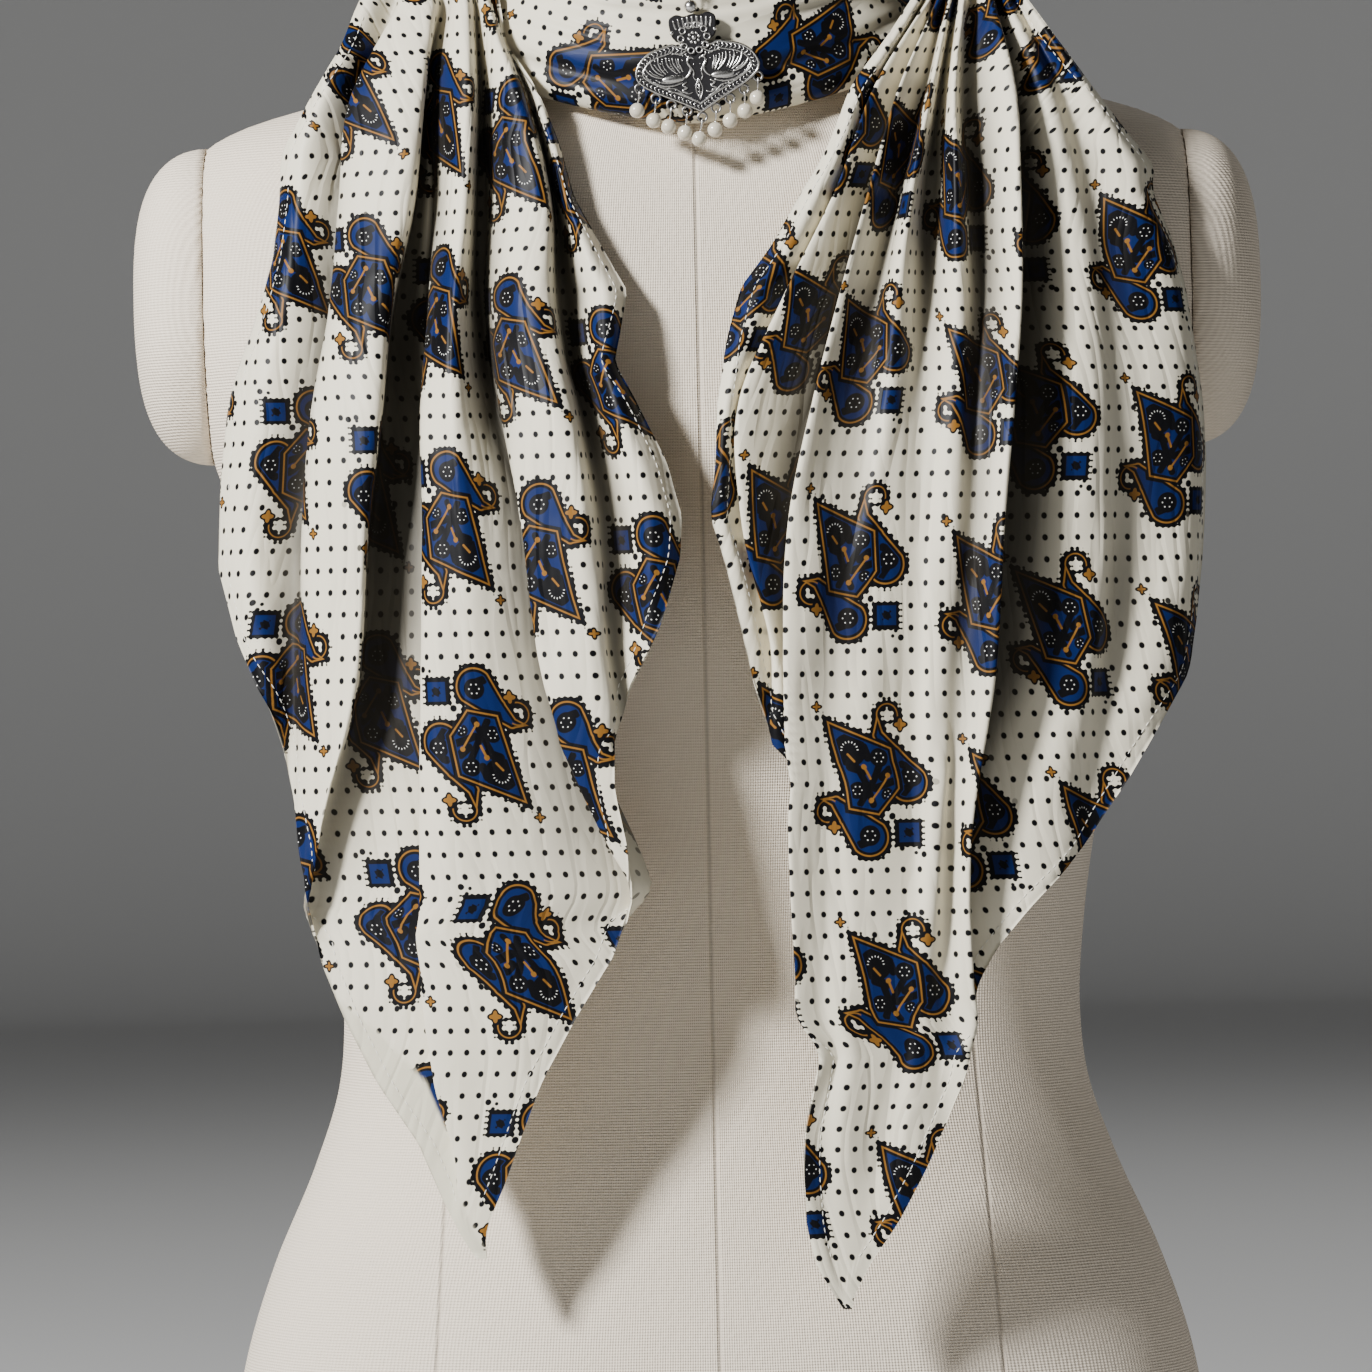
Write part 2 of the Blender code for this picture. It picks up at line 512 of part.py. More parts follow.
def make_front_band(silk):
    """The gathered band round the front of the neck, turned in along both edges."""
    share, out = np.array(BAND_SECTION).T
    turn = np.radians(np.linspace(-BAND_REACH, BAND_REACH, BAND_COLUMNS))
    grid = np.empty((len(turn), len(share), 3))
    for number, angle in enumerate(turn):
        rise = (1 - math.cos(angle)) ** BAND_RISE_POWER
        low = BAND_LOW + BAND_RISE * rise
        top = BAND_TOP + BAND_TOP_RISE * rise
        height = low + (top - low) * share
        half_width = BAND_LOW_HALF_WIDTH + (BAND_TOP_HALF_WIDTH - BAND_LOW_HALF_WIDTH) * share
        x = (half_width + out) * math.sin(angle)
        y = -(BAND_FRONT + out) * math.cos(angle)
        grid[number] = np.stack([x, y, height], 1)
    return add_object("scarf_front_band", *cloth_wall(grid, grid_offsets(grid)), silk)


# ---------------------------------------------------------------- the pendant and its pearls
def tilted(points, pivot, degrees):
    """Points turned in the picture plane about a pivot; positive lifts the right side."""
    turn = math.radians(degrees)
    x = points[:, 0] - pivot[0]
    z = points[:, 2] - pivot[2]
    turned = points.copy()
    turned[:, 0] = pivot[0] + x * math.cos(turn) - z * math.sin(turn)
    turned[:, 2] = pivot[2] + x * math.sin(turn) + z * math.cos(turn)
    return turned


def wire_loop(centre, radius, wire, straight=0.0, facing_front=True, around=10, sides=5):
    """A closed loop of wire, round or with two straight sides, facing the front or the side."""
    turn = np.linspace(0, 2 * math.pi, around, endpoint=False) + math.pi / around
    across = radius * np.cos(turn)
    up = radius * np.sin(turn) + np.where(np.sin(turn) > 0, straight / 2, -straight / 2)
    section = np.linspace(0, 2 * math.pi, sides, endpoint=False)
    out = wire / 2 * np.cos(section)[None, :]
    thick = wire / 2 * np.sin(section)[None, :]
    ring_across = across[:, None] + out * np.cos(turn)[:, None]
    ring_up = up[:, None] + out * np.sin(turn)[:, None]
    thick = np.broadcast_to(thick, ring_up.shape)
    if facing_front:
        points = np.stack([ring_across, thick, ring_up], -1)
    else:
        points = np.stack([thick, ring_across, ring_up], -1)
    number = np.arange(around * sides).reshape(around, sides)
    after = np.roll(number, -1, axis=0)
    faces = np.stack([number, np.roll(number, -1, 1), np.roll(after, -1, 1), after], -1)
    return points.reshape(-1, 3) + np.asarray(centre, float), faces.reshape(-1, 4).tolist()


def hanging_link(seat, lowest, radius, wire):
    """An oval link that hangs on the wire at its seat and reaches down to a lowest height."""
    highest = seat[2] + WIRE / 2 + SEAM_GAP + wire / 2
    centre = (seat[0], seat[1], (highest + lowest) / 2)
    return wire_loop(centre, radius, wire, highest - lowest - 2 * radius, facing_front=False)


def ball(centre, diameter, around=10, rings=6):
    """A bead: rings from the bottom point to the top point, closed with small flats."""
    tilt = np.linspace(-80, 80, rings) * math.pi / 180
    turn = np.linspace(0, 2 * math.pi, around, endpoint=False)
    radius = diameter / 2
    rows = []
    for angle in tilt:
        x = radius * math.cos(angle) * np.cos(turn)
        y = radius * math.cos(angle) * np.sin(turn)
        rows.append(np.stack([x, y, np.full(around, radius * math.sin(angle))], 1))
    vertices, faces = closed_rings(np.array(rows))
    return vertices + np.asarray(centre, float), faces


def plate_line(x):
    """The height of the plate's lower edge below its top, at a distance from its middle."""
    outline = np.array(PLATE_OUTLINE[10:])
    return np.interp(abs(x), outline[::-1, 0], outline[::-1, 1])


def ring_centre(x):
    """Where a cast ring sits under the plate's lower edge, in world millimetres, untilted."""
    drop = RING_RADIUS + RING_OVERHANG
    return np.array([PLATE_MIDDLE + x, HINGE_FRONT, PLATE_TOP + plate_line(x) - drop])


def extrude_outline(half_outline, front, back, middle, top):
    """A flat plate from half of its outline, mirrored."""
    half = np.array(half_outline)
    mirror = half[half[:, 0] > 0][::-1] * (-1, 1)
    outline = np.concatenate([half, mirror])
    rings = []
    for depth in (front, back):
        depths = np.full(len(outline), depth)
        rings.append(np.stack([middle + outline[:, 0], depths, top + outline[:, 1]], 1))
    return closed_rings(np.array(rings))


def make_pendant(silver):
    """The cast plate with its crown and nine rings, the top bead with its eye, the sewn ring."""
    pivot = (PLATE_MIDDLE, HINGE_FRONT, HINGE_HEIGHT)
    front = HINGE_FRONT - PLATE_THICKNESS / 2
    back = HINGE_FRONT + PLATE_THICKNESS / 2
    vertices, faces = extrude_outline(PLATE_OUTLINE, front, back, PLATE_MIDDLE, PLATE_TOP)
    plate = add_object("pendant_plate", tilted(vertices, pivot, PENDANT_TILT), faces, silver)
    front -= CROWN_RELIEF
    back -= CROWN_RELIEF / 3
    vertices, faces = extrude_outline(CROWN_OUTLINE, front, back, PLATE_MIDDLE, CROWN_BASE)
    fused = [add_object("crown", tilted(vertices, pivot, PENDANT_TILT), faces, silver)]
    for number, place in enumerate(RING_PLACES):
        vertices, faces = wire_loop(ring_centre(place), RING_RADIUS, WIRE)
        name = "cast_ring_%d" % (number + 1)
        fused.append(add_object(name, tilted(vertices, pivot, PENDANT_TILT), faces, silver))
    join_by_union(plate, fused)

    bead_middle = CROWN_BASE + CROWN_OUTLINE[0][1] + SEAM_GAP + TOP_BEAD_DIAMETER / 2
    vertices, faces = ball((PLATE_MIDDLE, HINGE_FRONT, bead_middle), TOP_BEAD_DIAMETER)
    bead = add_object("pendant_top_bead", tilted(vertices, pivot, PENDANT_TILT), faces, silver)
    seat = np.array(pivot)
    sunk = bead_middle + TOP_BEAD_DIAMETER / 2 - WIRE / 2
    vertices, faces = hanging_link(seat, sunk, LINK_RADIUS, WIRE * 0.8)
    eye = add_object("top_eye", tilted(vertices, pivot, PENDANT_TILT), faces, silver)
    join_by_union(bead, [eye])

    sewn_centre = (PLATE_MIDDLE, HINGE_FRONT, HINGE_HEIGHT + SEWN_RING_RADIUS)
    vertices, faces = wire_loop(sewn_centre, SEWN_RING_RADIUS, WIRE, around=16)
    add_object("pendant_sewn_ring", vertices, faces, silver)


def make_pearls(pearl, silver):
    """Nine pearls, each on an oval link that hangs in its cast ring."""
    pivot = (PLATE_MIDDLE, HINGE_FRONT, HINGE_HEIGHT)
    for number, place in enumerate(RING_PLACES):
        centre = tilted(ring_centre(place)[None], pivot, PENDANT_TILT)[0]
        turn = math.radians(PENDANT_TILT + PEARL_LEANS[number])
        seat = centre + RING_RADIUS * np.array([math.sin(turn), 0, -math.cos(turn)])
        low = seat[2] - LINK_DROP
        vertices, faces = hanging_link(seat, low, LINK_RADIUS, LINK_WIRE)
        name = "pearl_link_%d" % (number + 1)
        add_object(name, tilted(vertices, seat, PEARL_LEANS[number]), faces, silver)
        bead_middle = low - LINK_WIRE / 2 - SEAM_GAP - PEARL_DIAMETER / 2
        vertices, faces = ball((seat[0], seat[1], bead_middle), PEARL_DIAMETER)
        name = "pearl_%d" % (number + 1)
        add_object(name, tilted(vertices, seat, PEARL_LEANS[number]), faces, pearl)


def main():
    clear_scene()
    canvas = material("unbleached canvas", (0.80, 0.74, 0.64), 0.9)
    silk = material("ivory silk", (0.83, 0.81, 0.73), 0.45)
    silver = material("darkened silver", (0.42, 0.41, 0.39), 0.32, 1.0)
    pearl = material("cream pearl", (0.88, 0.85, 0.77), 0.22)
    make_torso(canvas)
    make_neck_cap(canvas)
    make_arm_cap("form_arm_cap_left", -1, canvas)
    make_arm_cap("form_arm_cap_right", 1, canvas)
    make_front_band(silk)
    make_tail("left", LEFT_FOLDS, LEFT_OUTLINE, LEFT_WRAP, silk)
    make_tail("right", RIGHT_FOLDS, RIGHT_OUTLINE, RIGHT_WRAP, silk)
    make_pendant(silver)
    make_pearls(pearl, silver)


main()
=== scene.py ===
# %% [markdown]
# # A printed silk scarf with a silver pendant, wound on a dress form
#
# One square of printed silk is folded on its diagonal and wound round a limbless dress form.
# The middle of the fold lies in front of the neck as a gathered band.  Both ends cross behind the
# neck, come forward over the shoulders and hang as two pleated tails with pointed tips.  A cast
# pendant with nine pearls hangs from a ring that is sewn to the band.
#
# All lengths in the tables are millimetres.  The form faces -Y, +Z is up, and the origin is the
# middle of the form's base.  Left and right are those of someone who looks at the front.

# %% What the scene uses
import math
from functools import partial, reduce

import bmesh
import bpy
import numpy as np
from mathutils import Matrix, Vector


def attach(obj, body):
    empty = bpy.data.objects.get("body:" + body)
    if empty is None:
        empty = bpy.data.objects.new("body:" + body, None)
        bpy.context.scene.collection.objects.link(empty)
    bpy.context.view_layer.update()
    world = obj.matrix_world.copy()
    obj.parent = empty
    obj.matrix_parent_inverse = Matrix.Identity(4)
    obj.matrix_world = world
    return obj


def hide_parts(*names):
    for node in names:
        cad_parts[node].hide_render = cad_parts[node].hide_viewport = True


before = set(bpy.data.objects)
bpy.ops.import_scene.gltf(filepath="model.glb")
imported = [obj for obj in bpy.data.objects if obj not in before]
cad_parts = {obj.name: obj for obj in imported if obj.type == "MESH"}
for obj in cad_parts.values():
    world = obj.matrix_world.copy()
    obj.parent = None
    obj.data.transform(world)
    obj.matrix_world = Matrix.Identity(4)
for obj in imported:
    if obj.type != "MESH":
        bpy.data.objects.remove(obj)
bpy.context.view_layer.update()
MM = 0.001

# %% [markdown]
# ## Camera
#
# The photograph was taken straight from the front with a long lens, and it is turned by a little
# over a degree, so the form's centre line leans left at the top.  It could be levelled, but then
# the two pictures could not be laid side by side.

# %% Camera
PICTURE_WIDTH = 507.6      # mm that the picture spans at the cloth
PICTURE_MIDDLE = (-7.4, 338.2)
CAMERA_DISTANCE = 2700.0
CLOTH_PLANE = -100.0
ROLL = 1.2                 # degrees

camera_data = bpy.data.cameras.new("camera")
camera_data.sensor_width = 36.0
camera_data.lens = 36.0 * CAMERA_DISTANCE / PICTURE_WIDTH
camera = bpy.data.objects.new("camera", camera_data)
camera.location = (
    PICTURE_MIDDLE[0] * MM,
    (CLOTH_PLANE - CAMERA_DISTANCE) * MM,
    PICTURE_MIDDLE[1] * MM,
)
camera.rotation_euler = (math.pi / 2, math.radians(ROLL), 0)
bpy.context.scene.collection.objects.link(camera)
bpy.context.scene.camera = camera
print("lens", round(camera_data.lens), "mm")

# %% [markdown]
# ## Sizes of the form
#
# The form is a stack of rounded sections.  Each row below is one section, and a smooth curve
# through the rows gives all the others.

# %% Sizes of the form
# The form's sections: a row for each height.
# height, half width, front depth, back depth, squareness
FORM_SECTIONS = (
    (0, 188, 108, 118, 2.3),
    (45, 187, 107, 117, 2.3),
    (84, 181, 103, 112, 2.3),
    (120, 169.5, 97, 105, 2.3),
    (158, 153, 91, 97, 2.2),
    (187, 143.5, 87, 91, 2.2),
    (215, 141, 86, 89, 2.2),
    (245, 143, 88, 89, 2.2),
    (280, 148, 93, 91, 2.2),
    (320, 156, 100, 94, 2.2),
    (360, 166, 106, 97, 2.2),
    (395, 175, 108, 99, 2.2),
    (425, 185.5, 107, 101, 2.35),
    (445, 192, 104, 102, 2.6),
    (470, 198, 99, 103, 2.9),
    (495, 200, 94, 102, 3),
    (520, 199, 88, 98, 2.9),
    (538, 194, 82, 94, 2.6),
    (549, 184, 77, 89, 2.3),
    (556, 169, 72, 83, 2.1),
    (562, 148, 67, 76, 2),
    (568, 124, 63, 70, 2),
    (577, 96, 60, 65, 2),
    (589, 72, 57, 61, 2),
    (603, 61, 55, 59, 2),
    (622, 58, 54, 58, 2),
    (640, 57, 54, 58, 2),
)
BUST_HEIGHT = 395.0
BUST_SPREAD = 85.0         # from the middle line to each side's fullest place
BUST_SWELL = 9.0           # how far the bust stands out there
BUST_SIZE = (55.0, 62.0)   # how soon that fades across and up
BUST_FADE = 40.0           # depth at which the swell starts to fade to nothing at the sides
ARMHOLE_X = 186.0
SEAM_GAP = 0.3             # between pieces that meet
NECK_TOP = 640.0
NECK_CAP = (58.0, 55.0, 59.0, 12.0)    # half width, front depth, back depth, height
ARM_CAP_REACH = 29.0
TORSO_SIDES = 240
TORSO_ROWS = 214
# The panel seams: how they lean out per mm below the bust and above it, where they end, and
# half of their groove's width
SEAM_LEANS = (0.066, 0.15)
SEAM_TOP = 560.0
SEAM_HALF_WIDTH = 1.1

# %% [markdown]
# ## Curves through tables
#
# Everything soft here is a surface over two numbers, worked out on a whole grid at once.  One
# helper draws a smooth curve through a table's rows.  Splines with overshoot control would be
# safer at sharp turns, but these simple pieces keep each row's own value, which is easy to check
# against a ruler.

# %% Curves through tables
def flow(knots, values, places):
    """Values at places along knots.

    Between two knots the value is (1 - t)^2 (1 + 2t) a + t^2 (3 - 2t) b plus the slopes' part
    t (1 - t)^2 m - t^2 (1 - t) n, with t from 0 to 1 and the slopes m, n those of the neighbours.
    """
    knots = np.asarray(knots, float)
    values = np.asarray(values, float)
    if knots[0] > knots[-1]:
        knots = knots[::-1]
        values = values[::-1]
    places = np.clip(np.asarray(places, float), knots[0], knots[-1])
    slopes = np.gradient(values, knots, axis=0)
    index = np.clip(np.searchsorted(knots, places, side="right") - 1, 0, len(knots) - 2)
    width = knots[index + 1] - knots[index]
    t = (places - knots[index]) / width
    shape = t.shape + (1,) * (values.ndim - 1)
    t = t.reshape(shape)
    width = width.reshape(shape)
    start = values[index] * (1 + 2 * t) * (1 - t) ** 2 + slopes[index] * width * t * (1 - t) ** 2
    end = values[index + 1] * t * t * (3 - 2 * t) + slopes[index + 1] * width * t * t * (t - 1)
    return start + end


def smooth_step(low, high, value):
    """0 below low, 1 above high, and 3t^2 - 2t^3 between them."""
    t = np.clip((value - low) / (high - low), 0, 1)
    return t * t * (3 - 2 * t)


def grid_normals(points):
    """At each point of a grid, the mean direction of the faces round it."""
    along = points[1:, 1:] - points[:-1, :-1]
    across = points[:-1, 1:] - points[1:, :-1]
    normals = np.cross(along, across)
    normals = normals / np.maximum(np.linalg.norm(normals, axis=2, keepdims=True), 1e-9)
    padded = np.pad(normals, ((1, 1), (1, 1), (0, 0)), mode="edge")
    mean = padded[:-1, :-1] + padded[1:, :-1] + padded[:-1, 1:] + padded[1:, 1:]
    return mean / np.maximum(np.linalg.norm(mean, axis=2, keepdims=True), 1e-9)


def circle_turns(count):
    """Even turns round a circle, in radians, from 0."""
    return np.linspace(0, 2 * math.pi, count, endpoint=False)


def circle(middle, radius, count):
    """Points (x, z) of a circle: c + r (cos t, sin t)."""
    turn = circle_turns(count)
    return np.asarray(middle) + radius * np.stack([np.cos(turn), np.sin(turn)], 1)


def along_path(points):
    """Distance along a path at each of its points."""
    return np.concatenate([[0], np.cumsum(np.linalg.norm(np.diff(points, axis=0), axis=1))])


def unit(vectors):
    """Each row of vectors at length 1."""
    return vectors / np.linalg.norm(vectors, axis=1, keepdims=True)


def ways_round(points):
    """The unit way ahead at each point of a closed path."""
    return unit(np.roll(points, -1, 0) - np.roll(points, 1, 0))


def arc_lengths(points, axis):
    """Distance along a grid's rows (axis 1) or columns (axis 0), from its first point."""
    steps = np.linalg.norm(np.diff(points, axis=axis), axis=2)
    start = np.zeros_like(np.take(steps, [0], axis=axis))
    return np.concatenate([start, np.cumsum(steps, axis=axis)], axis=axis)


# %% [markdown]
# ## Meshes
#
# A mesh is made from whole arrays.  Cloth is a thin closed shell, so that its wrong side and its
# hems show where it turns over; a single sheet with a Solidify modifier could do that too, but
# here the hem can be made thicker than the rest.

# %% Meshes
def add_mesh(name, vertices, faces, finish):
    """A mesh object from vertices in millimetres; faces is an array of fours or a list."""
    mesh = bpy.data.meshes.new(name)
    faces = faces.tolist() if isinstance(faces, np.ndarray) else faces
    mesh.from_pydata((np.asarray(vertices, float) * MM).tolist(), [], faces)
    mesh.materials.append(finish)
    mesh.shade_smooth()
    mesh.validate()
    thing = bpy.data.objects.new(name, mesh)
    bpy.context.scene.collection.objects.link(thing)
    return thing


def point_values(thing, name, values):
    """One number at each of a mesh's vertices, for its material to read."""
    attribute = thing.data.attributes.new(name, "FLOAT", "POINT")
    attribute.data.foreach_set("value", np.asarray(values, np.float32).ravel())


def grid_faces(rows, columns, closed_rows=False, closed_columns=False):
    """Fours that join a grid's neighbours, going round again where it is closed."""
    number = np.arange(rows * columns).reshape(rows, columns)
    if closed_rows:
        number = np.concatenate([number, number[:1]])
    if closed_columns:
        number = np.concatenate([number, number[:, :1]], axis=1)
    corners = [number[:-1, :-1], number[1:, :-1], number[1:, 1:], number[:-1, 1:]]
    return np.stack(corners, -1).reshape(-1, 4)


def stack_faces(count, sides):
    """Faces of a stack of rings, and a fan of threes to one more corner at each end."""
    faces = grid_faces(count, sides, closed_columns=True)[:, ::-1].tolist()
    first = count * sides
    for number in range(sides):
        after = (number + 1) % sides
        faces.append([first, after, number])
        faces.append([first + 1, first - sides + number, first - sides + after])
    return faces


def cloth_shell(name, points, half_wall, print_place, unprinted, painted_shade, finish):
    """A closed thin shell of cloth round a grid of points.

    The right side is p + n w and the wrong side p - n w, with n the normal and w half the wall.
    print_place gives each point's place in the printed pattern, in millimetres, unprinted is 1
    where the ground is bare, and the painted shade 1 at the foot of a deep fold, where the colour
    is darkened.
    """
    rows, columns = points.shape[:2]
    shift = grid_normals(points) * half_wall[..., None]
    vertices = np.concatenate([(points + shift).reshape(-1, 3), (points - shift).reshape(-1, 3)])
    right = grid_faces(rows, columns)
    count = rows * columns
    number = np.arange(count).reshape(rows, columns)
    rim = np.concatenate([number[0, :], number[1:, -1], number[-1, -2::-1], number[-2:0:-1, 0]])
    after = np.roll(rim, -1)
    sides = np.stack([rim, rim + count, after + count, after], -1)
    faces = np.concatenate([right, right[:, ::-1] + count, sides])
    thing = add_mesh(name, vertices, faces, finish)
    place = np.concatenate([print_place.reshape(-1, 2)] * 2)
    layer = thing.data.uv_layers.new(name="print")
    corner = np.empty(len(thing.data.loops), np.int32)
    thing.data.loops.foreach_get("vertex_index", corner)
    layer.data.foreach_set("uv", place[corner].astype(np.float32).ravel())
    point_values(thing, "wrong_side", np.repeat([0.0, 1.0], count))
    point_values(thing, "unprinted", np.concatenate([unprinted.ravel()] * 2))
    point_values(thing, "painted_shade", np.concatenate([painted_shade.ravel()] * 2))
    return thing


# %% [markdown]
# ## Shader sums in plain signs
#
# A print drawn from distances needs many small sums.  Sockets wrapped in a class let them be
# written as ordinary arithmetic.  Hand-linked nodes would give the same shader, but nobody could
# read it.

# %% Shader sums
EDGE_SOFT = 0.25           # mm over which one colour of the print gives way to the next


def sign(operation, turned=False):
    """What a sign between two numbers does; turned when the shader's number comes second."""
    def between(self, other):
        pair = (other, self) if turned else (self, other)
        return self.shader.sum(operation, *pair)
    return between


class Value:
    """A number in a shader: +, -, * and / make Math nodes."""

    def __init__(self, shader, socket):
        self.shader = shader
        self.socket = socket

    __add__ = sign("ADD")
    __radd__ = sign("ADD", turned=True)
    __sub__ = sign("SUBTRACT")
    __rsub__ = sign("SUBTRACT", turned=True)
    __mul__ = sign("MULTIPLY")
    __rmul__ = sign("MULTIPLY", turned=True)
    __truediv__ = sign("DIVIDE")


class Shader:
    """A material's node tree, with one method for sums and one for any other node."""

    def __init__(self, name):
        self.material = bpy.data.materials.new(name)
        self.material.use_nodes = True
        self.tree = self.material.node_tree
        self.surface = self.tree.nodes["Principled BSDF"]

    def node(self, kind, inputs=None, output=0, **settings):
        """Any node: its settings, its inputs by name or number, and the output that is wanted."""
        made = self.tree.nodes.new(kind)
        for key, value in settings.items():
            setattr(made, key, value)
        for key, value in (inputs or {}).items():
            if isinstance(value, Value):
                self.tree.links.new(value.socket, made.inputs[key])
            else:
                made.inputs[key].default_value = value
        return Value(self, made.outputs[output])

    def sum(self, operation, *values):
        return self.node("ShaderNodeMath", dict(enumerate(values)), operation=operation)

    def vector(self, operation, *values):
        """A Vector Math node; its number when the sum is a length or a dot product."""
        output = 1 if operation in ("LENGTH", "DOT_PRODUCT") else 0
        inputs = dict(enumerate(values))
        return self.node("ShaderNodeVectorMath", inputs, output=output, operation=operation)

    def least(self, *values):
        return reduce(partial(self.sum, "MINIMUM"), values)

    def most(self, *values):
        return reduce(partial(self.sum, "MAXIMUM"), values)

    def size(self, value):
        return self.sum("ABSOLUTE", value)

    def root(self, value):
        return self.sum("SQRT", value)

    def clamped(self, value):
        """The number held between 0 and 1."""
        return self.node("ShaderNodeClamp", {0: value})

    def inside(self, distance, soft):
        """1 where a distance is below zero, 0 where above, with a soft edge of this width."""
        return self.clamped(0.5 - distance / soft)

    def blend(self, share, first, second):
        """A colour that is first where share is 0 and second where it is 1."""
        inputs = {0: share, 6: first, 7: second}
        return self.node("ShaderNodeMix", inputs, output=2, data_type="RGBA")

    def painted(self, colour, distance, paint):
        """A colour with another laid over it wherever a distance is below zero."""
        return self.blend(self.inside(distance, EDGE_SOFT), colour, paint)

    def parts(self, place):
        """The three numbers of a place."""
        whole = self.node("ShaderNodeSeparateXYZ", {0: place})
        return [Value(self, socket) for socket in whole.socket.node.outputs]

    def attribute(self, name):
        return self.node("ShaderNodeAttribute", output=2, attribute_name=name)

    def feed(self, socket, value):
        if isinstance(value, Value):
            self.tree.links.new(value.socket, self.surface.inputs[socket])
        else:
            self.surface.inputs[socket].default_value = value


# %% [markdown]
# ## The print
#
# Small black dots lie in rows, and a leaf with two horned lobes repeats on a slanted lattice.
# The leaf is an ordinary block-print ornament, drawn anew here from straight sides, circles and
# tapered strokes, each as a distance: below zero is inside.  An image could be painted instead,
# but distances stay sharp at any size and need no file.

# %% The print's sizes and shapes
REPEAT_ACROSS = (56.0, -13.0)      # mm, from one leaf to the next
REPEAT_DOWN = (6.0, -80.0)
DOT_STEP = (6.1, 8.1)
DOT_RADII = (1.05, 1.2)
DOT_SOFT = 0.3                     # the same at a dot's edge, as a share of its radius
RIM = 1.35                         # the black rim round the leaf, beyond its shapes
TOOTH = 0.45                       # how far its teeth stand out
TOOTH_TURN = 2.75                  # radians of the teeth's wave to a mm
LINE_INSET = 0.8                   # the ochre line inside the leaf's edge, its middle
LINE_HALF = 0.32
BLUE_INSET = 2.1                   # where the blue begins

IVORY = (0.77, 0.715, 0.565, 1)
BARE = (0.66, 0.62, 0.48, 1)
INK = (0.003, 0.003, 0.004, 1)
BLUE = (0.004, 0.014, 0.078, 1)
OCHRE = (0.235, 0.105, 0.018, 1)
SHADE = (0.030, 0.026, 0.020, 1)   # painted shade: the colour laid on the ground deep between pleats, where shade falls
WHITE = (0.72, 0.72, 0.68, 1)

# The leaf's five-sided frame, its corners in turn: x, y.  The first is the leaf's tip.
FRAME_CORNERS = ((-15, 23), (10, 12), (11.8, -3.5), (4, -13.5), (-8, -11))
# Two lobes, each drawn out to a curved horn, as tapered strokes.
# start x, start y, end x, end y, radius at the start, radius at the end
LOBES = (
    (14.6, -1, 9.6, 8.5, 7.8, 5), (9.6, 8.5, 4.8, 16.5, 5, 2.7),
    (4.8, 16.5, 4.4, 24.5, 2.7, 0.4),
    (0, -21, -7, -13.2, 7.8, 4.8), (-7, -13.2, -12.6, -7.6, 4.8, 2.7),
    (-12.6, -7.6, -19, -6.4, 2.7, 0.4),
)
# The tendrils that curl on from the horns, black with an ochre line: centre x, centre y, radius,
# half width, the way the open side looks (x, y)
TENDRILS = ((8.6, 23.8, 4.2, 0.7, 0.25, -0.97), (-15.2, -10.9, 4.2, 0.7, 0.97, -0.25))
# Four-petalled buds at their ends, and the drop above the leaf's tip: x, y, radius
BUDS = ((13.6, 20.2, 1.9), (-12.8, -17, 1.9), (-18.2, 27.4, 1.2))
# The small black twig under the square: x, y, radius
TWIG = ((18.4, -25.2, 0.8), (20.4, -27.8, 1.2), (17.2, -27.2, 0.7), (8.8, -13.4, 1.3))
SQUARE = (15.0, -19.6, 4.0)        # the serrated square: x, y, half its side
# Flowers on the blue: x, y, radius of their ring of petals, how many petals, how far down from
# the middle the ring goes on, in radii (a fan has only the upper part)
FLOWERS = (
    (-6.2, 11.2, 3.5, 16, 0.1), (4.4, 8.2, 2, 6, 2), (-4.8, -3.6, 1.8, 6, 2),
    (6.4, -5.2, 1.3, 5, 2), (15.8, 1, 2.2, 6, 2), (0.2, -20.4, 2.2, 6, 2),
)
# Black stems and leaves between them: start x, start y, end x, end y, radius
STEMS = (
    (-6.4, 10, 1.4, -9, 0.7), (4.8, 6.6, -3.4, -8.4, 0.7), (1.6, -3, 9.4, -0.4, 0.8),
    (-6.6, 5, -2.4, 3.4, 1.1), (7.8, 3.6, 4.6, 1, 1), (-1, 12.2, 0.2, 8.2, 0.9),
    (15.8, -1, 12.8, -5.2, 1), (18.4, 3.4, 13.2, 5.4, 0.9), (0.2, -22.4, -3.4, -23.6, 1),
)
# Thin ochre sprigs over them: start x, start y, end x, end y, radius
SPRIGS = (
    (-7, 9.6, -4.8, 7, 0.4), (-1.6, 4.6, 0, 0.6, 0.45), (6.8, 1.4, 0.6, -7.4, 0.35),
)
# The round ends of the sprigs: x, y, radius
KNOBS = ((0.5, -7.4, 1), (6.8, 1.6, 0.95), (-1.7, 4.9, 1))
# A plainer leaf, round which the dots are left out: strokes as above.
DOTLESS = (
    (-16, 25, 13, -1, 1, 11.5), (-14, 22, 0, -19, 1, 10.5),
    (6, 18, 12, 23, 5, 6), (-13, -9, -16, -14, 5.5, 6),
    (14, -18, 19, -26, 6.5, 2.5),
)
print("leaf: a frame,", len(LOBES), "strokes for its lobes,", len(FLOWERS), "flowers")


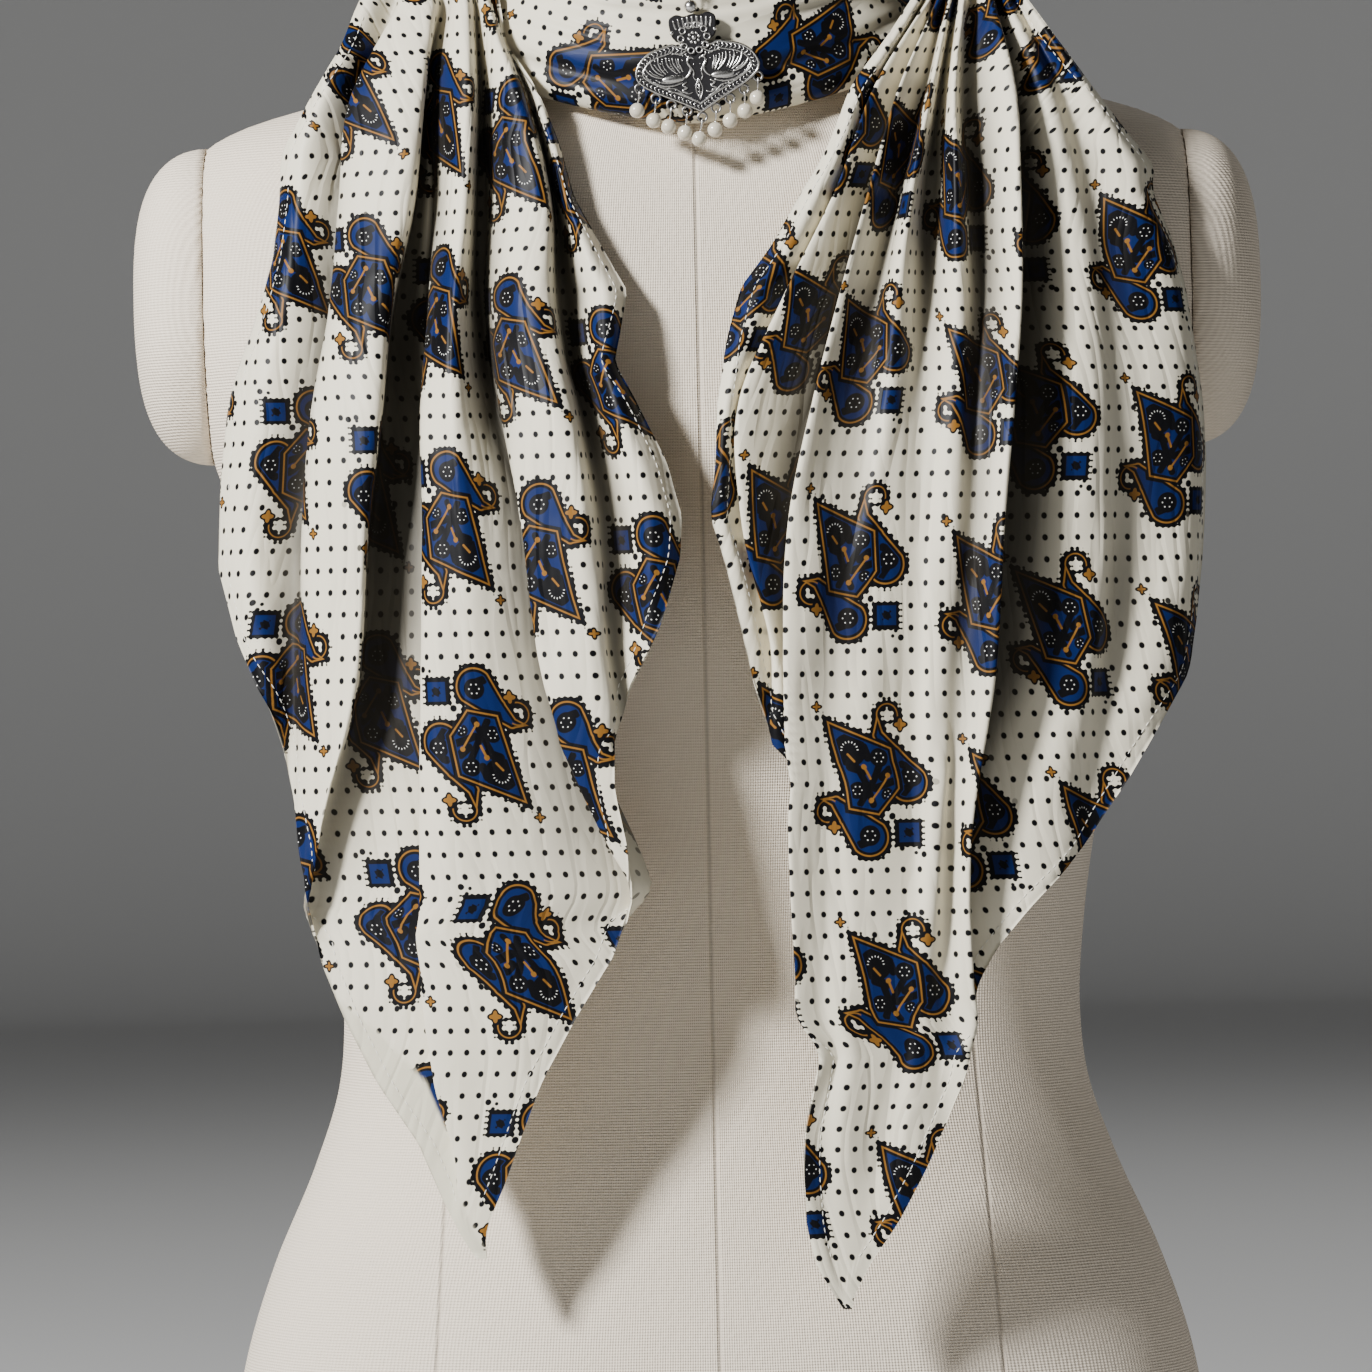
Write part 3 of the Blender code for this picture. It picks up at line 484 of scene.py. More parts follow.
# %% Distances to the shapes
def stroke(shader, place, line):
    """Distance to a stroke that widens from one radius to the other.

    |p - a - t (b - a)| - (r + t (s - r)), with t the share along the stroke, from 0 to 1.
    """
    x0, y0, x1, y1, r0, r1 = line
    dx, dy = x1 - x0, y1 - y0
    long = dx * dx + dy * dy
    off = shader.vector("SUBTRACT", place, (x0, y0, 0.0))
    share = shader.clamped(shader.vector("DOT_PRODUCT", off, (dx / long, dy / long, 0.0)))
    off = shader.vector("MULTIPLY_ADD", share, (-dx, -dy, 0.0), off)
    distance = shader.vector("LENGTH", off) - r0
    return distance if r0 == r1 else shader.sum("MULTIPLY_ADD", share, r0 - r1, distance)


def corners_shape(shader, x, y, corners):
    """Distance to a shape with straight sides: the largest of (p - c) . n over its sides."""
    sides = []
    for first, second in zip(corners, corners[1:] + corners[:1]):
        dx, dy = second[0] - first[0], second[1] - first[1]
        long = math.hypot(dx, dy)
        sides.append((x - first[0]) * (-dy / long) + (y - first[1]) * (dx / long))
    return shader.most(*sides)


def round_spot(shader, place, spot):
    """Distance to a disc: |p - c| - r."""
    off = shader.vector("SUBTRACT", place, (spot[0], spot[1], 0.0))
    return shader.vector("LENGTH", off) - spot[2]


def petal_wave(shader, x, y, spot, petals):
    """cos(n t), with t the turn round a spot and n the number of petals."""
    turn = shader.sum("ARCTAN2", y - spot[1], x - spot[0])
    return shader.sum("COSINE", turn * petals)


def off_nearest(shader, value, step):
    """How far a number lies off the nearest multiple of a step."""
    steps = value / step
    return (steps - shader.sum("ROUND", steps)) * step


def repeat(shader, u, v):
    """A point's place within the leaf that it is nearest to on the lattice."""
    ax, ay = REPEAT_ACROSS
    bx, by = REPEAT_DOWN
    area = ax * by - ay * bx
    along = (u * by - v * bx) / area
    down = (v * ax - u * ay) / area
    along = along - shader.sum("ROUND", along)
    down = down - shader.sum("ROUND", down)
    return along * ax + down * bx, along * ay + down * by


def print_colours(shader):
    """The dotted ground's colour, the leaf's, and 1 where the leaf shows, from flat places."""
    place = shader.node("ShaderNodeUVMap", uv_map="print")
    u, v, _ = shader.parts(place)
    x, y = repeat(shader, u, v)
    here = shader.node("ShaderNodeCombineXYZ", {0: x, 1: y})

    frame_shape = corners_shape(shader, x, y, FRAME_CORNERS)
    lobes = shader.least(*[stroke(shader, here, line) for line in LOBES])
    tendrils = []
    for cx, cy, radius, width, open_x, open_y in TENDRILS:
        ring = shader.size(round_spot(shader, here, (cx, cy, radius))) - width
        side = (x - cx) * open_x + (y - cy) * open_y - 2.0
        tendrils.append(shader.most(ring, side))
    buds = shader.least(*[
        round_spot(shader, here, bud) - petal_wave(shader, x, y, bud, 4) * 0.5 for bud in BUDS])
    twig = shader.least(*[round_spot(shader, here, spot) for spot in TWIG])
    sx, sy, half = SQUARE
    from_middle = shader.most(shader.size(x - sx), shader.size(y - sy))
    square = from_middle - half

    toothed = shader.least(frame_shape, lobes, *tendrils, square)
    teeth = shader.sum("SINE", x * TOOTH_TURN) + shader.sum("SINE", y * TOOTH_TURN)
    rim = shader.least(toothed - RIM - teeth * TOOTH, buds - 0.7, twig)

    off_x = off_nearest(shader, u, DOT_STEP[0])
    off_y = off_nearest(shader, v, DOT_STEP[1])
    long_x = off_x / DOT_RADII[0]
    long_y = off_y / DOT_RADII[1]
    dot = shader.root(long_x * long_x + long_y * long_y) - 1.0
    middle = shader.node("ShaderNodeCombineXYZ", {0: x - off_x, 1: y - off_y})
    leaf = shader.least(*[stroke(shader, middle, line) for line in DOTLESS])
    dots = shader.inside(dot, DOT_SOFT) * (1.0 - shader.inside(leaf, 0.1))
    ink = shader.most(dots, shader.inside(rim, EDGE_SOFT))

    ground = shader.blend(ink, IVORY, INK)
    blue = shader.least(frame_shape + BLUE_INSET,
                        shader.most(lobes + BLUE_INSET, 0.9 - frame_shape), square + 0.4)
    colour = shader.painted(INK, blue, BLUE)
    frame_line = shader.size(frame_shape + LINE_INSET) - LINE_HALF
    lobe_line = shader.most(shader.size(lobes + LINE_INSET) - LINE_HALF, 0.3 - frame_shape)
    gold = shader.least(frame_line, lobe_line, buds + 0.1, *[curl + 0.45 for curl in tendrils])
    colour = shader.painted(colour, gold, OCHRE)
    spikes = shader.sum("SINE", (x + y) * 3.0) * 0.3
    colour = shader.painted(colour, from_middle - 1.5 - spikes, INK)

    stems = shader.least(*[stroke(shader, here, (*line, line[4])) for line in STEMS]) - 0.6
    discs, petals = [], []
    for flower_x, flower_y, radius, count, low in FLOWERS:
        flower = (flower_x, flower_y, radius * 0.85)
        reach = round_spot(shader, here, flower)
        discs.append(reach - radius * 0.9)
        wave = petal_wave(shader, x, y, flower, count)
        ring = shader.size(reach) - (wave - 0.5) * radius * 0.22
        petals.append(shader.most(ring, flower_y - low * radius - y))
    colour = shader.painted(colour, shader.most(shader.least(stems, *discs), blue + 0.3), INK)
    colour = shader.painted(colour, shader.least(*petals), WHITE)
    sprigs = shader.least(*[stroke(shader, here, (*line, line[4])) for line in SPRIGS],
                          *[round_spot(shader, here, spot) for spot in KNOBS])
    colour = shader.painted(colour, sprigs, OCHRE)
    leaf_here = shader.inside(shader.least(toothed - 0.5, buds - 0.4), 0.1)
    return ground, colour, leaf_here, u, v


# %% The silk
WRONG_SIDE_PALER = 0.35            # how far the print fades to ivory on the wrong side
PAINTED_SHADE_DARKER = 0.92               # painted shade: how far the colour goes to SHADE at the foot of a full-depth fold
CRUMPLE_SCALE = 0.05               # the noise of the crumples, to a mm of cloth
CREASE_SCALE = (0.10, 0.014)       # that of the long creases, across and down
CREASE_SHARPNESS = 9.0


def printed_silk():
    """Satin-woven silk: a soft sheen, fine creases, and a paler wrong side.

    The dotted ground and the leaf are two surfaces, so the leaf's many sums are worked out only
    where it shows.
    """
    shader = Shader("printed silk")
    ground, leaf, leaf_here, u, v = print_colours(shader)
    bare = shader.attribute("unprinted")
    wrong = shader.attribute("wrong_side") * WRONG_SIDE_PALER
    painted_shade = shader.attribute("painted_shade") * PAINTED_SHADE_DARKER
    crumple = shader.node("ShaderNodeTexNoise", {
        "Vector": shader.node("ShaderNodeUVMap", uv_map="print"), "Scale": CRUMPLE_SCALE,
        "Detail": 1.5,
    }, noise_dimensions="2D")
    long_way = shader.node("ShaderNodeCombineXYZ", {0: u * CREASE_SCALE[0], 1: v * CREASE_SCALE[1]})
    lines = shader.node("ShaderNodeTexNoise", {"Vector": long_way, "Scale": 1.0, "Detail": 1.0},
                        noise_dimensions="2D")
    crease = shader.clamped(1.0 - shader.size(lines - 0.5) * CREASE_SHARPNESS)
    height = crumple * 1.8 - crease * 0.8
    bump = shader.node("ShaderNodeBump", {"Height": height, "Strength": 0.35, "Distance": 0.001})
    surfaces = [shader.surface, shader.tree.nodes.new("ShaderNodeBsdfPrincipled")]
    for surface, colour in zip(surfaces, (ground, leaf)):
        shader.surface = surface
        colour = shader.blend(wrong, shader.blend(bare, colour, BARE), IVORY)
        # Painted shade: the colour goes towards SHADE at the foot of deep folds, where shade falls.
        shader.feed("Base Color", shader.blend(painted_shade, colour, SHADE))
        shader.feed("Roughness", 0.45)
        shader.feed("Specular IOR Level", 0.12)
        shader.feed("Sheen Weight", 0.03)
        shader.feed("Sheen Roughness", 0.4)
        shader.feed("Normal", bump)
    both = shader.node("ShaderNodeMixShader", {0: leaf_here})
    for number, surface in enumerate(surfaces, start=1):
        shader.tree.links.new(surface.outputs[0], both.socket.node.inputs[number])
    shader.tree.links.new(both.socket, shader.tree.nodes["Material Output"].inputs[0])
    return shader.material


silk = printed_silk()
print("print nodes:", len(silk.node_tree.nodes))

# %% [markdown]
# ## The dress form
#
# A torso under coarse canvas, with flat armholes that carry domed caps and a capped neck.  The
# bust swells out as a soft bump added to the sections.  Sculpting could give livelier curves,
# but a shop form is as plain as this.

# %% The form's canvas
RIB_TURN = 5.8             # radians of the ribs' wave to a mm of height
WARP_TURN = 700            # the upright threads' wave, in radians to a radian round the form


def canvas_cloth():
    """Unbleached canvas with ribs that run round the form, and its seams as fine grooves."""
    shader = Shader("unbleached canvas")
    place = shader.node("ShaderNodeTexCoord", output=3)
    x, y, z = [part / MM for part in shader.parts(place)]
    turn = shader.sum("ARCTAN2", y, x)
    wander = shader.node("ShaderNodeTexNoise", {"Vector": place, "Scale": 30.0, "Detail": 1.0})
    ribs = shader.sum("SINE", z * RIB_TURN + wander * 4.0)
    threads = ribs * 0.6 + shader.sum("SINE", turn * WARP_TURN + wander * 5.0) * 0.45
    slub = shader.node("ShaderNodeTexNoise", {"Vector": place, "Scale": 420.0, "Detail": 1.0})
    cloud = shader.node("ShaderNodeTexNoise", {"Vector": place, "Scale": 9.0, "Detail": 1.0})
    out = shader.size(x)
    below = (BUST_HEIGHT - z) * SEAM_LEANS[0]
    above = (z - BUST_HEIGHT) * SEAM_LEANS[1]
    princess = shader.size(out - (shader.most(below, above) + BUST_SPREAD))
    seam = shader.most(shader.least(princess, out), z - SEAM_TOP)
    groove = 1.0 - shader.clamped(seam / SEAM_HALF_WIDTH)
    colour = shader.blend(cloud, (0.83, 0.725, 0.585, 1), (0.89, 0.79, 0.655, 1))
    colour = shader.blend(shader.clamped(0.12 - threads * 0.16), colour, (0.42, 0.34, 0.25, 1))
    colour = shader.blend(groove * 0.5, colour, (0.30, 0.25, 0.19, 1))
    shader.feed("Base Color", colour)
    shader.feed("Roughness", 0.92)
    shader.feed("Specular IOR Level", 0.15)
    height = threads * 0.35 + slub * 0.5 - groove * 1.4
    bump = shader.node("ShaderNodeBump", {"Height": height, "Strength": 0.7, "Distance": 0.0008})
    shader.feed("Normal", bump)
    return shader.material


canvas = canvas_cloth()
print("canvas nodes:", len(canvas.node_tree.nodes))

# %% The form's shapes
def bust_swell(x, z):
    """How far the bust stands out: h exp(-((|x| - s) / w)^2 - ((z - b) / t)^2)."""
    wide, tall = BUST_SIZE
    return BUST_SWELL * np.exp(
        -((np.abs(x) - BUST_SPREAD) / wide) ** 2 - ((z - BUST_HEIGHT) / tall) ** 2)


def torso_points(heights, turns):
    """The torso's surface over height and turn.

    x = a sgn(cos t) |cos t|^(2/n), y = b sgn(sin t) |sin t|^(2/n), with a, b and n from the table
    at each height, the bust's bump taken from y, and x held within the armholes.
    """
    table = np.array(FORM_SECTIONS)
    half, front, back, square = flow(table[:, 0], table[:, 1:], heights).T[..., None]
    c = np.cos(turns)[None]
    s = np.sin(turns)[None]
    x = half * np.sign(c) * np.abs(c) ** (2 / square)
    y = np.where(s < 0, front, back) * np.sign(s) * np.abs(s) ** (2 / square)
    z = np.broadcast_to(heights[:, None], x.shape)
    y = np.where(y < 0, y - bust_swell(x, z) * np.minimum(1, -y / BUST_FADE), y)
    return np.stack([np.clip(x, -ARMHOLE_X, ARMHOLE_X), y, z], -1)


def closed_stack(name, rings, finish):
    """A solid through rings of points, with a fan of threes at each end."""
    vertices = np.concatenate([rings.reshape(-1, 3), rings[:1].mean(1), rings[-1:].mean(1)])
    return add_mesh(name, vertices, stack_faces(*rings.shape[:2]), finish)


turns = circle_turns(TORSO_SIDES)
heights = np.concatenate([
    [0.0, 0.0], np.linspace(1.0, NECK_TOP - 1.0, TORSO_ROWS), [NECK_TOP, NECK_TOP]])
rings = torso_points(heights, turns)
for end, share in ((0, 0.985), (-1, 0.97)):
    middle = rings[end].mean(0)
    rings[end] = middle + (rings[end] - middle) * share
torso = closed_stack("canvas_torso", rings, canvas)
torso.data.set_sharp_from_angle(angle=math.radians(50))
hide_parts("form_torso")


def neck_cap_points():
    """The neck's cap: ellipses that shrink by (1 - r^6)^(1/3) as they rise to r = 1."""
    half, front, back, high = NECK_CAP
    rise = np.concatenate([[0.0], np.sin(np.linspace(0.0, math.pi / 2, 16)) * 0.999])
    share = (1 - rise ** 6) ** (1 / 3)
    share[0] = 0.985
    x = half * share[:, None] * np.cos(turns)[None]
    y = np.where(np.sin(turns) < 0, front, back)[None] * share[:, None] * np.sin(turns)[None]
    z = np.broadcast_to(NECK_TOP + SEAM_GAP + rise[:, None] * high, x.shape)
    return np.stack([x, y, z], -1)


neck_cap = closed_stack("neck_cap", neck_cap_points(), canvas)
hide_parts("form_neck_cap")


def armhole_edge(turn):
    """Where the torso meets the flat armhole, y and z.

    z runs as the sine of the turn between the heights where the torso is just as wide as the
    armholes, and y = b (1 - (x / a)^n)^(1/n) there.
    """
    table = np.array(FORM_SECTIONS)
    fine = np.linspace(BUST_HEIGHT, NECK_TOP, 1000)
    wide = fine[flow(table[:, 0], table[:, 1], fine) > ARMHOLE_X]
    z = (wide[0] + wide[-1]) / 2 + (wide[-1] - wide[0]) / 2 * np.sin(turn)
    half, front, back, square = flow(table[:, 0], table[:, 1:], z).T
    share = np.minimum(ARMHOLE_X / half, 1) ** square
    y = np.where(np.cos(turn) > 0, back, -front) * (1 - share) ** (1 / square)
    return np.column_stack([y, z])


def arm_cap_points(side):
    """A domed cap: the armhole's edge drawn in as cos(t)^0.62 while it moves out as sin(t)^0.9."""
    lift = np.radians(np.concatenate([[0.0], np.linspace(0.0, 88.0, 18)]))
    share = np.cos(lift) ** 0.62
    share[0] = 0.99
    out = ARM_CAP_REACH * np.sin(lift) ** 0.9
    rim = armhole_edge(turns[::2])
    middle = rim.mean(0)
    ring = middle + (rim - middle) * share[:, None, None]
    x = np.broadcast_to(side * (ARMHOLE_X + SEAM_GAP + out[:, None]), ring.shape[:2])
    ring = np.concatenate([x[..., None], ring], axis=2)
    return ring if side < 0 else ring[:, ::-1]


caps = []
for side, word in ((-1, "left"), (1, "right")):
    cap = closed_stack(word + "_arm_cap", arm_cap_points(side)[:, ::-1], canvas)
    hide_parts("form_arm_cap_" + word)
    caps.append(cap)
for piece in (torso, neck_cap, *caps):
    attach(piece, "dressed_form")
print("torso corners:", len(torso.data.vertices))

# %% [markdown]
# ## The scarf's folds
#
# The tables give each fold line of a tail from hem to hem: where it runs at some heights, and
# how far it stands out.  Where a line steps back past its neighbour the cloth lies over itself
# as a knife pleat.  A cloth simulation could drape the square, yet it would never settle into
# these very pleats, so they are listed one by one, as a shop assistant would lay them.

# %% Tables of the folds
# Heights at which the fold tables below give a fold's place.
LEVELS = (594, 560, 520, 480, 440, 400, 340, 280, 220, 150, 112)
# Heights at which they give how far it stands out.
OUT_LEVELS = (594, 520, 440, 340, 220)

# Each row is one fold line of the left tail, from its outer hem to its inner hem:
# name, x at each of LEVELS, how far it stands out (+) or back (-) at each of OUT_LEVELS.
# Where x steps back from one fold to the next, the cloth is laid over itself as a knife pleat.
# A fold line runs on past the hem that cuts it.
LEFT_FOLDS = (
    ("outer hem",
     (-126, -143, -155, -163, -176, -180, -174, -176, -176, -140, -125), (0, 0, 0, 0, 0)),
    ("side swell",
     (-121, -137, -146, -153, -163, -168, -163, -166, -168, -135, -121), (4, 6, 6, 5, 1)),
    ("side valley",
     (-112.5, -123.5, -127, -131, -139, -148, -152, -156, -162, -130, -117), (-4, -11, -9, -4, 0)),
    ("second pleat, left",
     (-109.5, -127, -132, -136, -143, -146, -146, -150, -156, -126, -113), (2, 5, 5, 3, 1)),
    ("second pleat, right",
     (-98, -102, -107, -115, -119, -124, -129, -144, -150, -122, -109), (5, 12, 11, 9, 2)),
    ("second valley",
     (-94.5, -101, -104, -112, -116, -121, -126, -140, -145, -118, -105), (-5, -10, -11, -8, -2)),
    ("knife valley",
     (-91.5, -97.5, -98.5, -101, -97, -97, -99, -100, -101, -96, -93), (-4, -9, -9, -7, -5)),
    ("knife ridge",
     (-89, -94, -95, -98, -102, -102.5, -104, -105.5, -105, -92, -89), (1, -1, 0, 3, 4)),
    ("third pleat, right",
     (-84, -83, -85, -89, -90, -88, -86, -80, -74, -82, -85), (5, 11, 9, 7, 4)),
    ("third valley",
     (-81, -79.5, -80, -80, -75, -62, -54, -29, -22, -40, -60), (-5, -12, -11, -9, -5)),
    ("fourth pleat, left",
     (-78.5, -73.5, -73, -74, -71, -66, -59, -38, -14, -34, -56), (1, 2, 2, 4, 1)),
    ("fourth pleat, right",
     (-76, -65, -56, -56, -49, -44, -40, -26, -8, -28, -50), (4, 10, 9, 6, 2)),
    ("inner valley",
     (-74, -62, -53, -50, -43, -36, -32, -18, -2, -22, -46), (-3, -9, -8, -5, 0)),
    ("inner edge",
     (-72, -59, -48, -36, -31, -20, -20, -12, 4, -16, -42), (2, 4, 5, 4, 2)),
    ("inner hem",
     (-70.5, -57, -44, -27, -22, -9, -8, -6, 10, -10, -38), (-2, -4, -5, -4, -2)),
)

# The same for the right tail, from its inner hem to its outer hem.
RIGHT_FOLDS = (
    ("inner hem", (83, 59, 41, 14.5, 6.5, 3, 15, 8, 0, -6, 0), (-1, -1, 0, -3, -4)),
    ("first swell", (85.5, 64, 47, 24, 11, 9, 20, 13, 6, 2, 8), (3, 5, 3, -3, -4)),
    ("first valley", (87.5, 70, 56, 36, 19, 17, 25, 19, 13, 10, 16), (-4, -9, -8, -7, -6)),
    ("second pleat, left", (89.5, 68, 52, 32, 15, 15, 27, 25, 22, 18, 24), (2, 4, 4, -3, -5)),
    ("second valley", (91.5, 80, 69, 57, 45, 37, 35, 40, 42, 28, 38), (-4, -10, -11, -10, -8)),
    ("front panel, left", (93, 77, 64, 52, 41, 32, 28.5, 29, 31, 32, 43), (4, 7, 8, 6, 3)),
    ("panel valley", (95, 86, 75, 65, 58, 52, 46, 43, 41, 39, 46), (-3, -6, -2, 0, 0)),
    ("panel swell", (97, 89, 80, 74, 70, 65, 59, 55, 52, 46, 49), (4, 7, 4, 2, 1)),
    ("third valley", (99, 92.5, 87, 84, 81, 79, 77, 73, 66, 55, 53), (-4, -10, -3, -1, 0)),
    ("fourth swell", (102, 97, 96.5, 96, 94, 91, 86, 81, 76, 66, 58), (4, 7, 5, 3, 2)),
    ("fourth valley", (105, 102, 104, 105, 102, 100, 94, 88, 86, 80, 66), (-5, -5, 0, 1, 0)),
    ("main pleat", (112, 119, 120, 119, 115, 110.5, 105.5, 95.5, 95, 92, 78), (5, 13, 13, 10, 5)),
    ("main valley", (114.5, 116.5, 115.5, 113, 109, 104, 100, 91, 94, 96, 84), (-5, -12, -12, -10, -4)),
    ("outer swell", (118, 130, 138, 142, 143, 142, 136, 122, 112, 104, 92), (2, 2, 2, 3, 0)),
    ("outer valley", (121, 137, 148, 155, 157, 156, 150, 137, 126, 112, 100), (-3, -3, -2, -2, -1)),
    ("outer ridge", (124.5, 145, 164, 177, 181, 181, 172, 154, 140, 120, 108), (3, 5, 5, 4, 1)),
    ("outer hem", (127, 149, 171, 183, 187.5, 187, 180, 166, 152, 130, 116), (-1, -3, -4, -2, 0)),
)

# The tails' outlines: a row for each height, with the x of both hems.
# height, outer hem, inner hem
LEFT_OUTLINE = (
    (594, -126, -72), (580, -131, -70), (560, -143, -58),
    (540, -154, -50.5), (520, -155, -45.5), (500, -157.5, -35),
    (484, -162, -26.5), (470, -167, -29), (457, -172, -31.5),
    (445, -175, -25), (420, -178, -13), (400, -179, -8),
    (385, -179.5, -9), (360, -173, -16.5), (335, -162, -28.5),
    (318, -156.5, -35), (300, -152.5, -34), (280, -150, -30),
    (260, -148.5, -29), (240, -144, -36), (218, -135, -50),
    (195, -124, -63), (172, -109, -72), (150, -100, -80),
    (138, -93.5, -84.5), (130, -88, -86),
)
# height, inner hem, outer hem
RIGHT_OUTLINE = (
    (594, 83, 125), (580, 74, 134), (560, 59, 148),
    (540, 51, 163), (530, 46, 171.5), (520, 39.5, 170.5),
    (500, 28, 178), (484, 16, 182), (465, 10.5, 184.5),
    (440, 6.5, 187.5), (420, 5.5, 188), (400, 3, 187),
    (383, 8, 185.5), (360, 13, 182.5), (340, 17, 179),
    (318, 24, 165.5), (300, 36, 154.5), (280, 38, 140),
    (258, 39, 120), (240, 40, 105), (226, 41, 97),
    (208, 40, 94.5), (193, 37, 92), (175, 33, 84),
    (160, 32, 77), (140, 33, 66), (126, 36, 56),
    (116, 41, 50.5), (109, 46, 48),
)

# How far forward a tail hangs in front of the form's middle: height, depth.
DRAPE = (
    (600, 60), (575, 78), (550, 87.4), (520, 95.7), (480, 111.5), (440, 126),
    (400, 132.5), (340, 135), (280, 134), (220, 132), (100, 127),
)
DRAPE_HALF_WIDTH = 215.0
DRAPE_SQUARENESS = 2.4
HEM_EASE = 2.5             # folds over which a section is eased to meet its hem
TIP_FADE = 90.0            # above a tail's tip, where the folds reach their full depth

# Over the shoulder and behind the neck: a row for each place, from the front to the far side.
# outer edge (x, y, z), inner edge (x, y, z), way out (x, y, z), share of the pleats' depth
LEFT_WRAP = (
    ((-117, -34, 612), (-76, -44, 622), (-0.35, -0.70, 0.62), 0.7),
    ((-106, 2, 625), (-74, -14, 641), (-0.50, -0.10, 0.86), 0.45),
    ((-93, 36, 606), (-72, 22, 640), (-0.76, 0.50, 0.42), 0.35),
    ((-64, 68, 583), (-56, 55, 613), (-0.55, 0.80, 0.20), 0.3),
    ((-14, 80, 590), (-14, 71, 619), (-0.10, 0.98, 0.20), 0.3),
    ((34, 66, 606), (32, 58, 638), (0.40, 0.90, 0.15), 0.3),
    ((60, 38, 612), (56, 32, 638), (0.80, 0.58, 0.10), 0.3),
)
RIGHT_WRAP = (
    ((117, -34, 612), (82, -44, 622), (0.35, -0.70, 0.62), 0.7),
    ((108, 4, 627), (80, -12, 643), (0.50, -0.10, 0.86), 0.45),
    ((96, 40, 606), (76, 26, 640), (0.76, 0.50, 0.42), 0.35),
    ((66, 78, 582), (60, 66, 618), (0.55, 0.80, 0.20), 0.3),
    ((16, 95, 590), (16, 86, 624), (0.10, 0.98, 0.20), 0.3),
    ((-30, 79, 625), (-28, 71, 647), (-0.40, 0.90, 0.15), 0.25),
    ((-58, 44, 624), (-54, 36, 645), (-0.80, 0.58, 0.10), 0.25),
)

# The neck band's section, from the hidden turned-in edge below to the one above.
# share of the band's height, mm out from the band's own front line (+ is out)
BAND_SECTION = (
    (0.34, -15), (0.16, -14.8), (0.05, -12.3), (0, -4.5), (0.07, 0.2), (0.22, 1.6), (0.36, 1.9),
    (0.50, 0.6), (0.61, 1), (0.72, -1), (0.80, 3.2), (0.86, 1), (0.92, 0.4), (0.98, -4),
    (1, -8.5), (0.90, -12),
)
BAND_LOW_HALF_WIDTH = 104.0
BAND_TOP_HALF_WIDTH = 76.0
BAND_FRONT = 93.0
BAND_REACH = 92.0          # degrees from the front to each end
BAND_LOW = 547.5           # the band's lower edge in front
BAND_TOP = 613.0
BAND_RISE = 45.0           # how far the lower edge rises towards the ends
BAND_TOP_RISE = 12.0
BAND_RISE_POWER = 0.76     # how soon it rises
print("fold lines:", len(LEFT_FOLDS), "left,", len(RIGHT_FOLDS), "right")

# %% [markdown]
# ## The tails
#
# A tail is one surface over two numbers: how far across its folds, and how far down.  From the
# shoulder it runs back over the neck, following the wrap tables.  Small creases are then pressed
# into it along its normals.

# %% The tails' surface
COLUMNS_PER_FOLD = 8
SHEET_ROWS = 223
HALF_WALL = 0.28           # mm, half of the thin shell
HEM_WALL = 0.3             # mm more, each side, where the hem is turned twice
HEM_WIDTH = 6.0
FOLD_LIFT = 3.0            # mm that the cloth is lifted for its deeper folds
CLEAR_OF_FORM = 1.6        # mm between the sheet's middle and the form
CREASE_GROWTH = 1.7        # how many times deeper than their table's numbers the creases are
FRONT_ROWS = 90            # rows worked out in the hanging part, before they are spaced evenly
FINE_STEPS = 24            # to a fold, where a hem's place is looked for
SMOOTHED_ROWS = 5          # to each side, over which that place is smoothed
PAINTED_SHADE_DEPTHS = (2.5, 18.0)        # mm below the pleats beside it where the painted shade starts, is full
PAINTED_SHADE_TOP = (596.0, 612.0)        # heights between which the painted shade fades over the shoulder


def drape_depth(x, z):
    """How far in front of the form's middle the cloth hangs: d(z) (1 - |x/w|^n)^(1/n)."""
    table = np.array(DRAPE)
    depth = flow(table[:, 0], table[:, 1], z)
    share = np.clip(np.abs(x) / DRAPE_HALF_WIDTH, 0, 0.999)
    return depth * (1 - share ** DRAPE_SQUARENESS) ** (1 / DRAPE_SQUARENESS)


def form_front(x, z):
    """How far forward the form stands there: b (1 - |x/a|^n)^(1/n), and the bust's bump."""
    table = np.array(FORM_SECTIONS)
    half, front, _, square = np.moveaxis(flow(table[:, 0], table[:, 1:], z), -1, 0)
    share = np.clip(np.abs(x) / half, 0, 0.999)
    depth = front * (1 - share ** square) ** (1 / square)
    return depth + bust_swell(x, z)


def hem_places(fold_x, hem_x, from_start):
    """Where across its folds each row meets its hem, smoothed down the tail."""
    last = fold_x.shape[1] - 1
    fine = np.linspace(0, last, last * FINE_STEPS + 1)
    section = flow(np.arange(last + 1), fold_x.T, fine).T
    if from_start:
        index = (section >= hem_x[:, None]).argmax(axis=1)
    else:
        inside = section <= hem_x[:, None]
        index = section.shape[1] - 1 - inside[:, ::-1].argmax(axis=1)
    weights = np.hanning(2 * SMOOTHED_ROWS + 3)[1:-1]
    padded = np.pad(fine[index], SMOOTHED_ROWS, mode="edge")
    return np.convolve(padded, weights / weights.sum(), mode="valid")


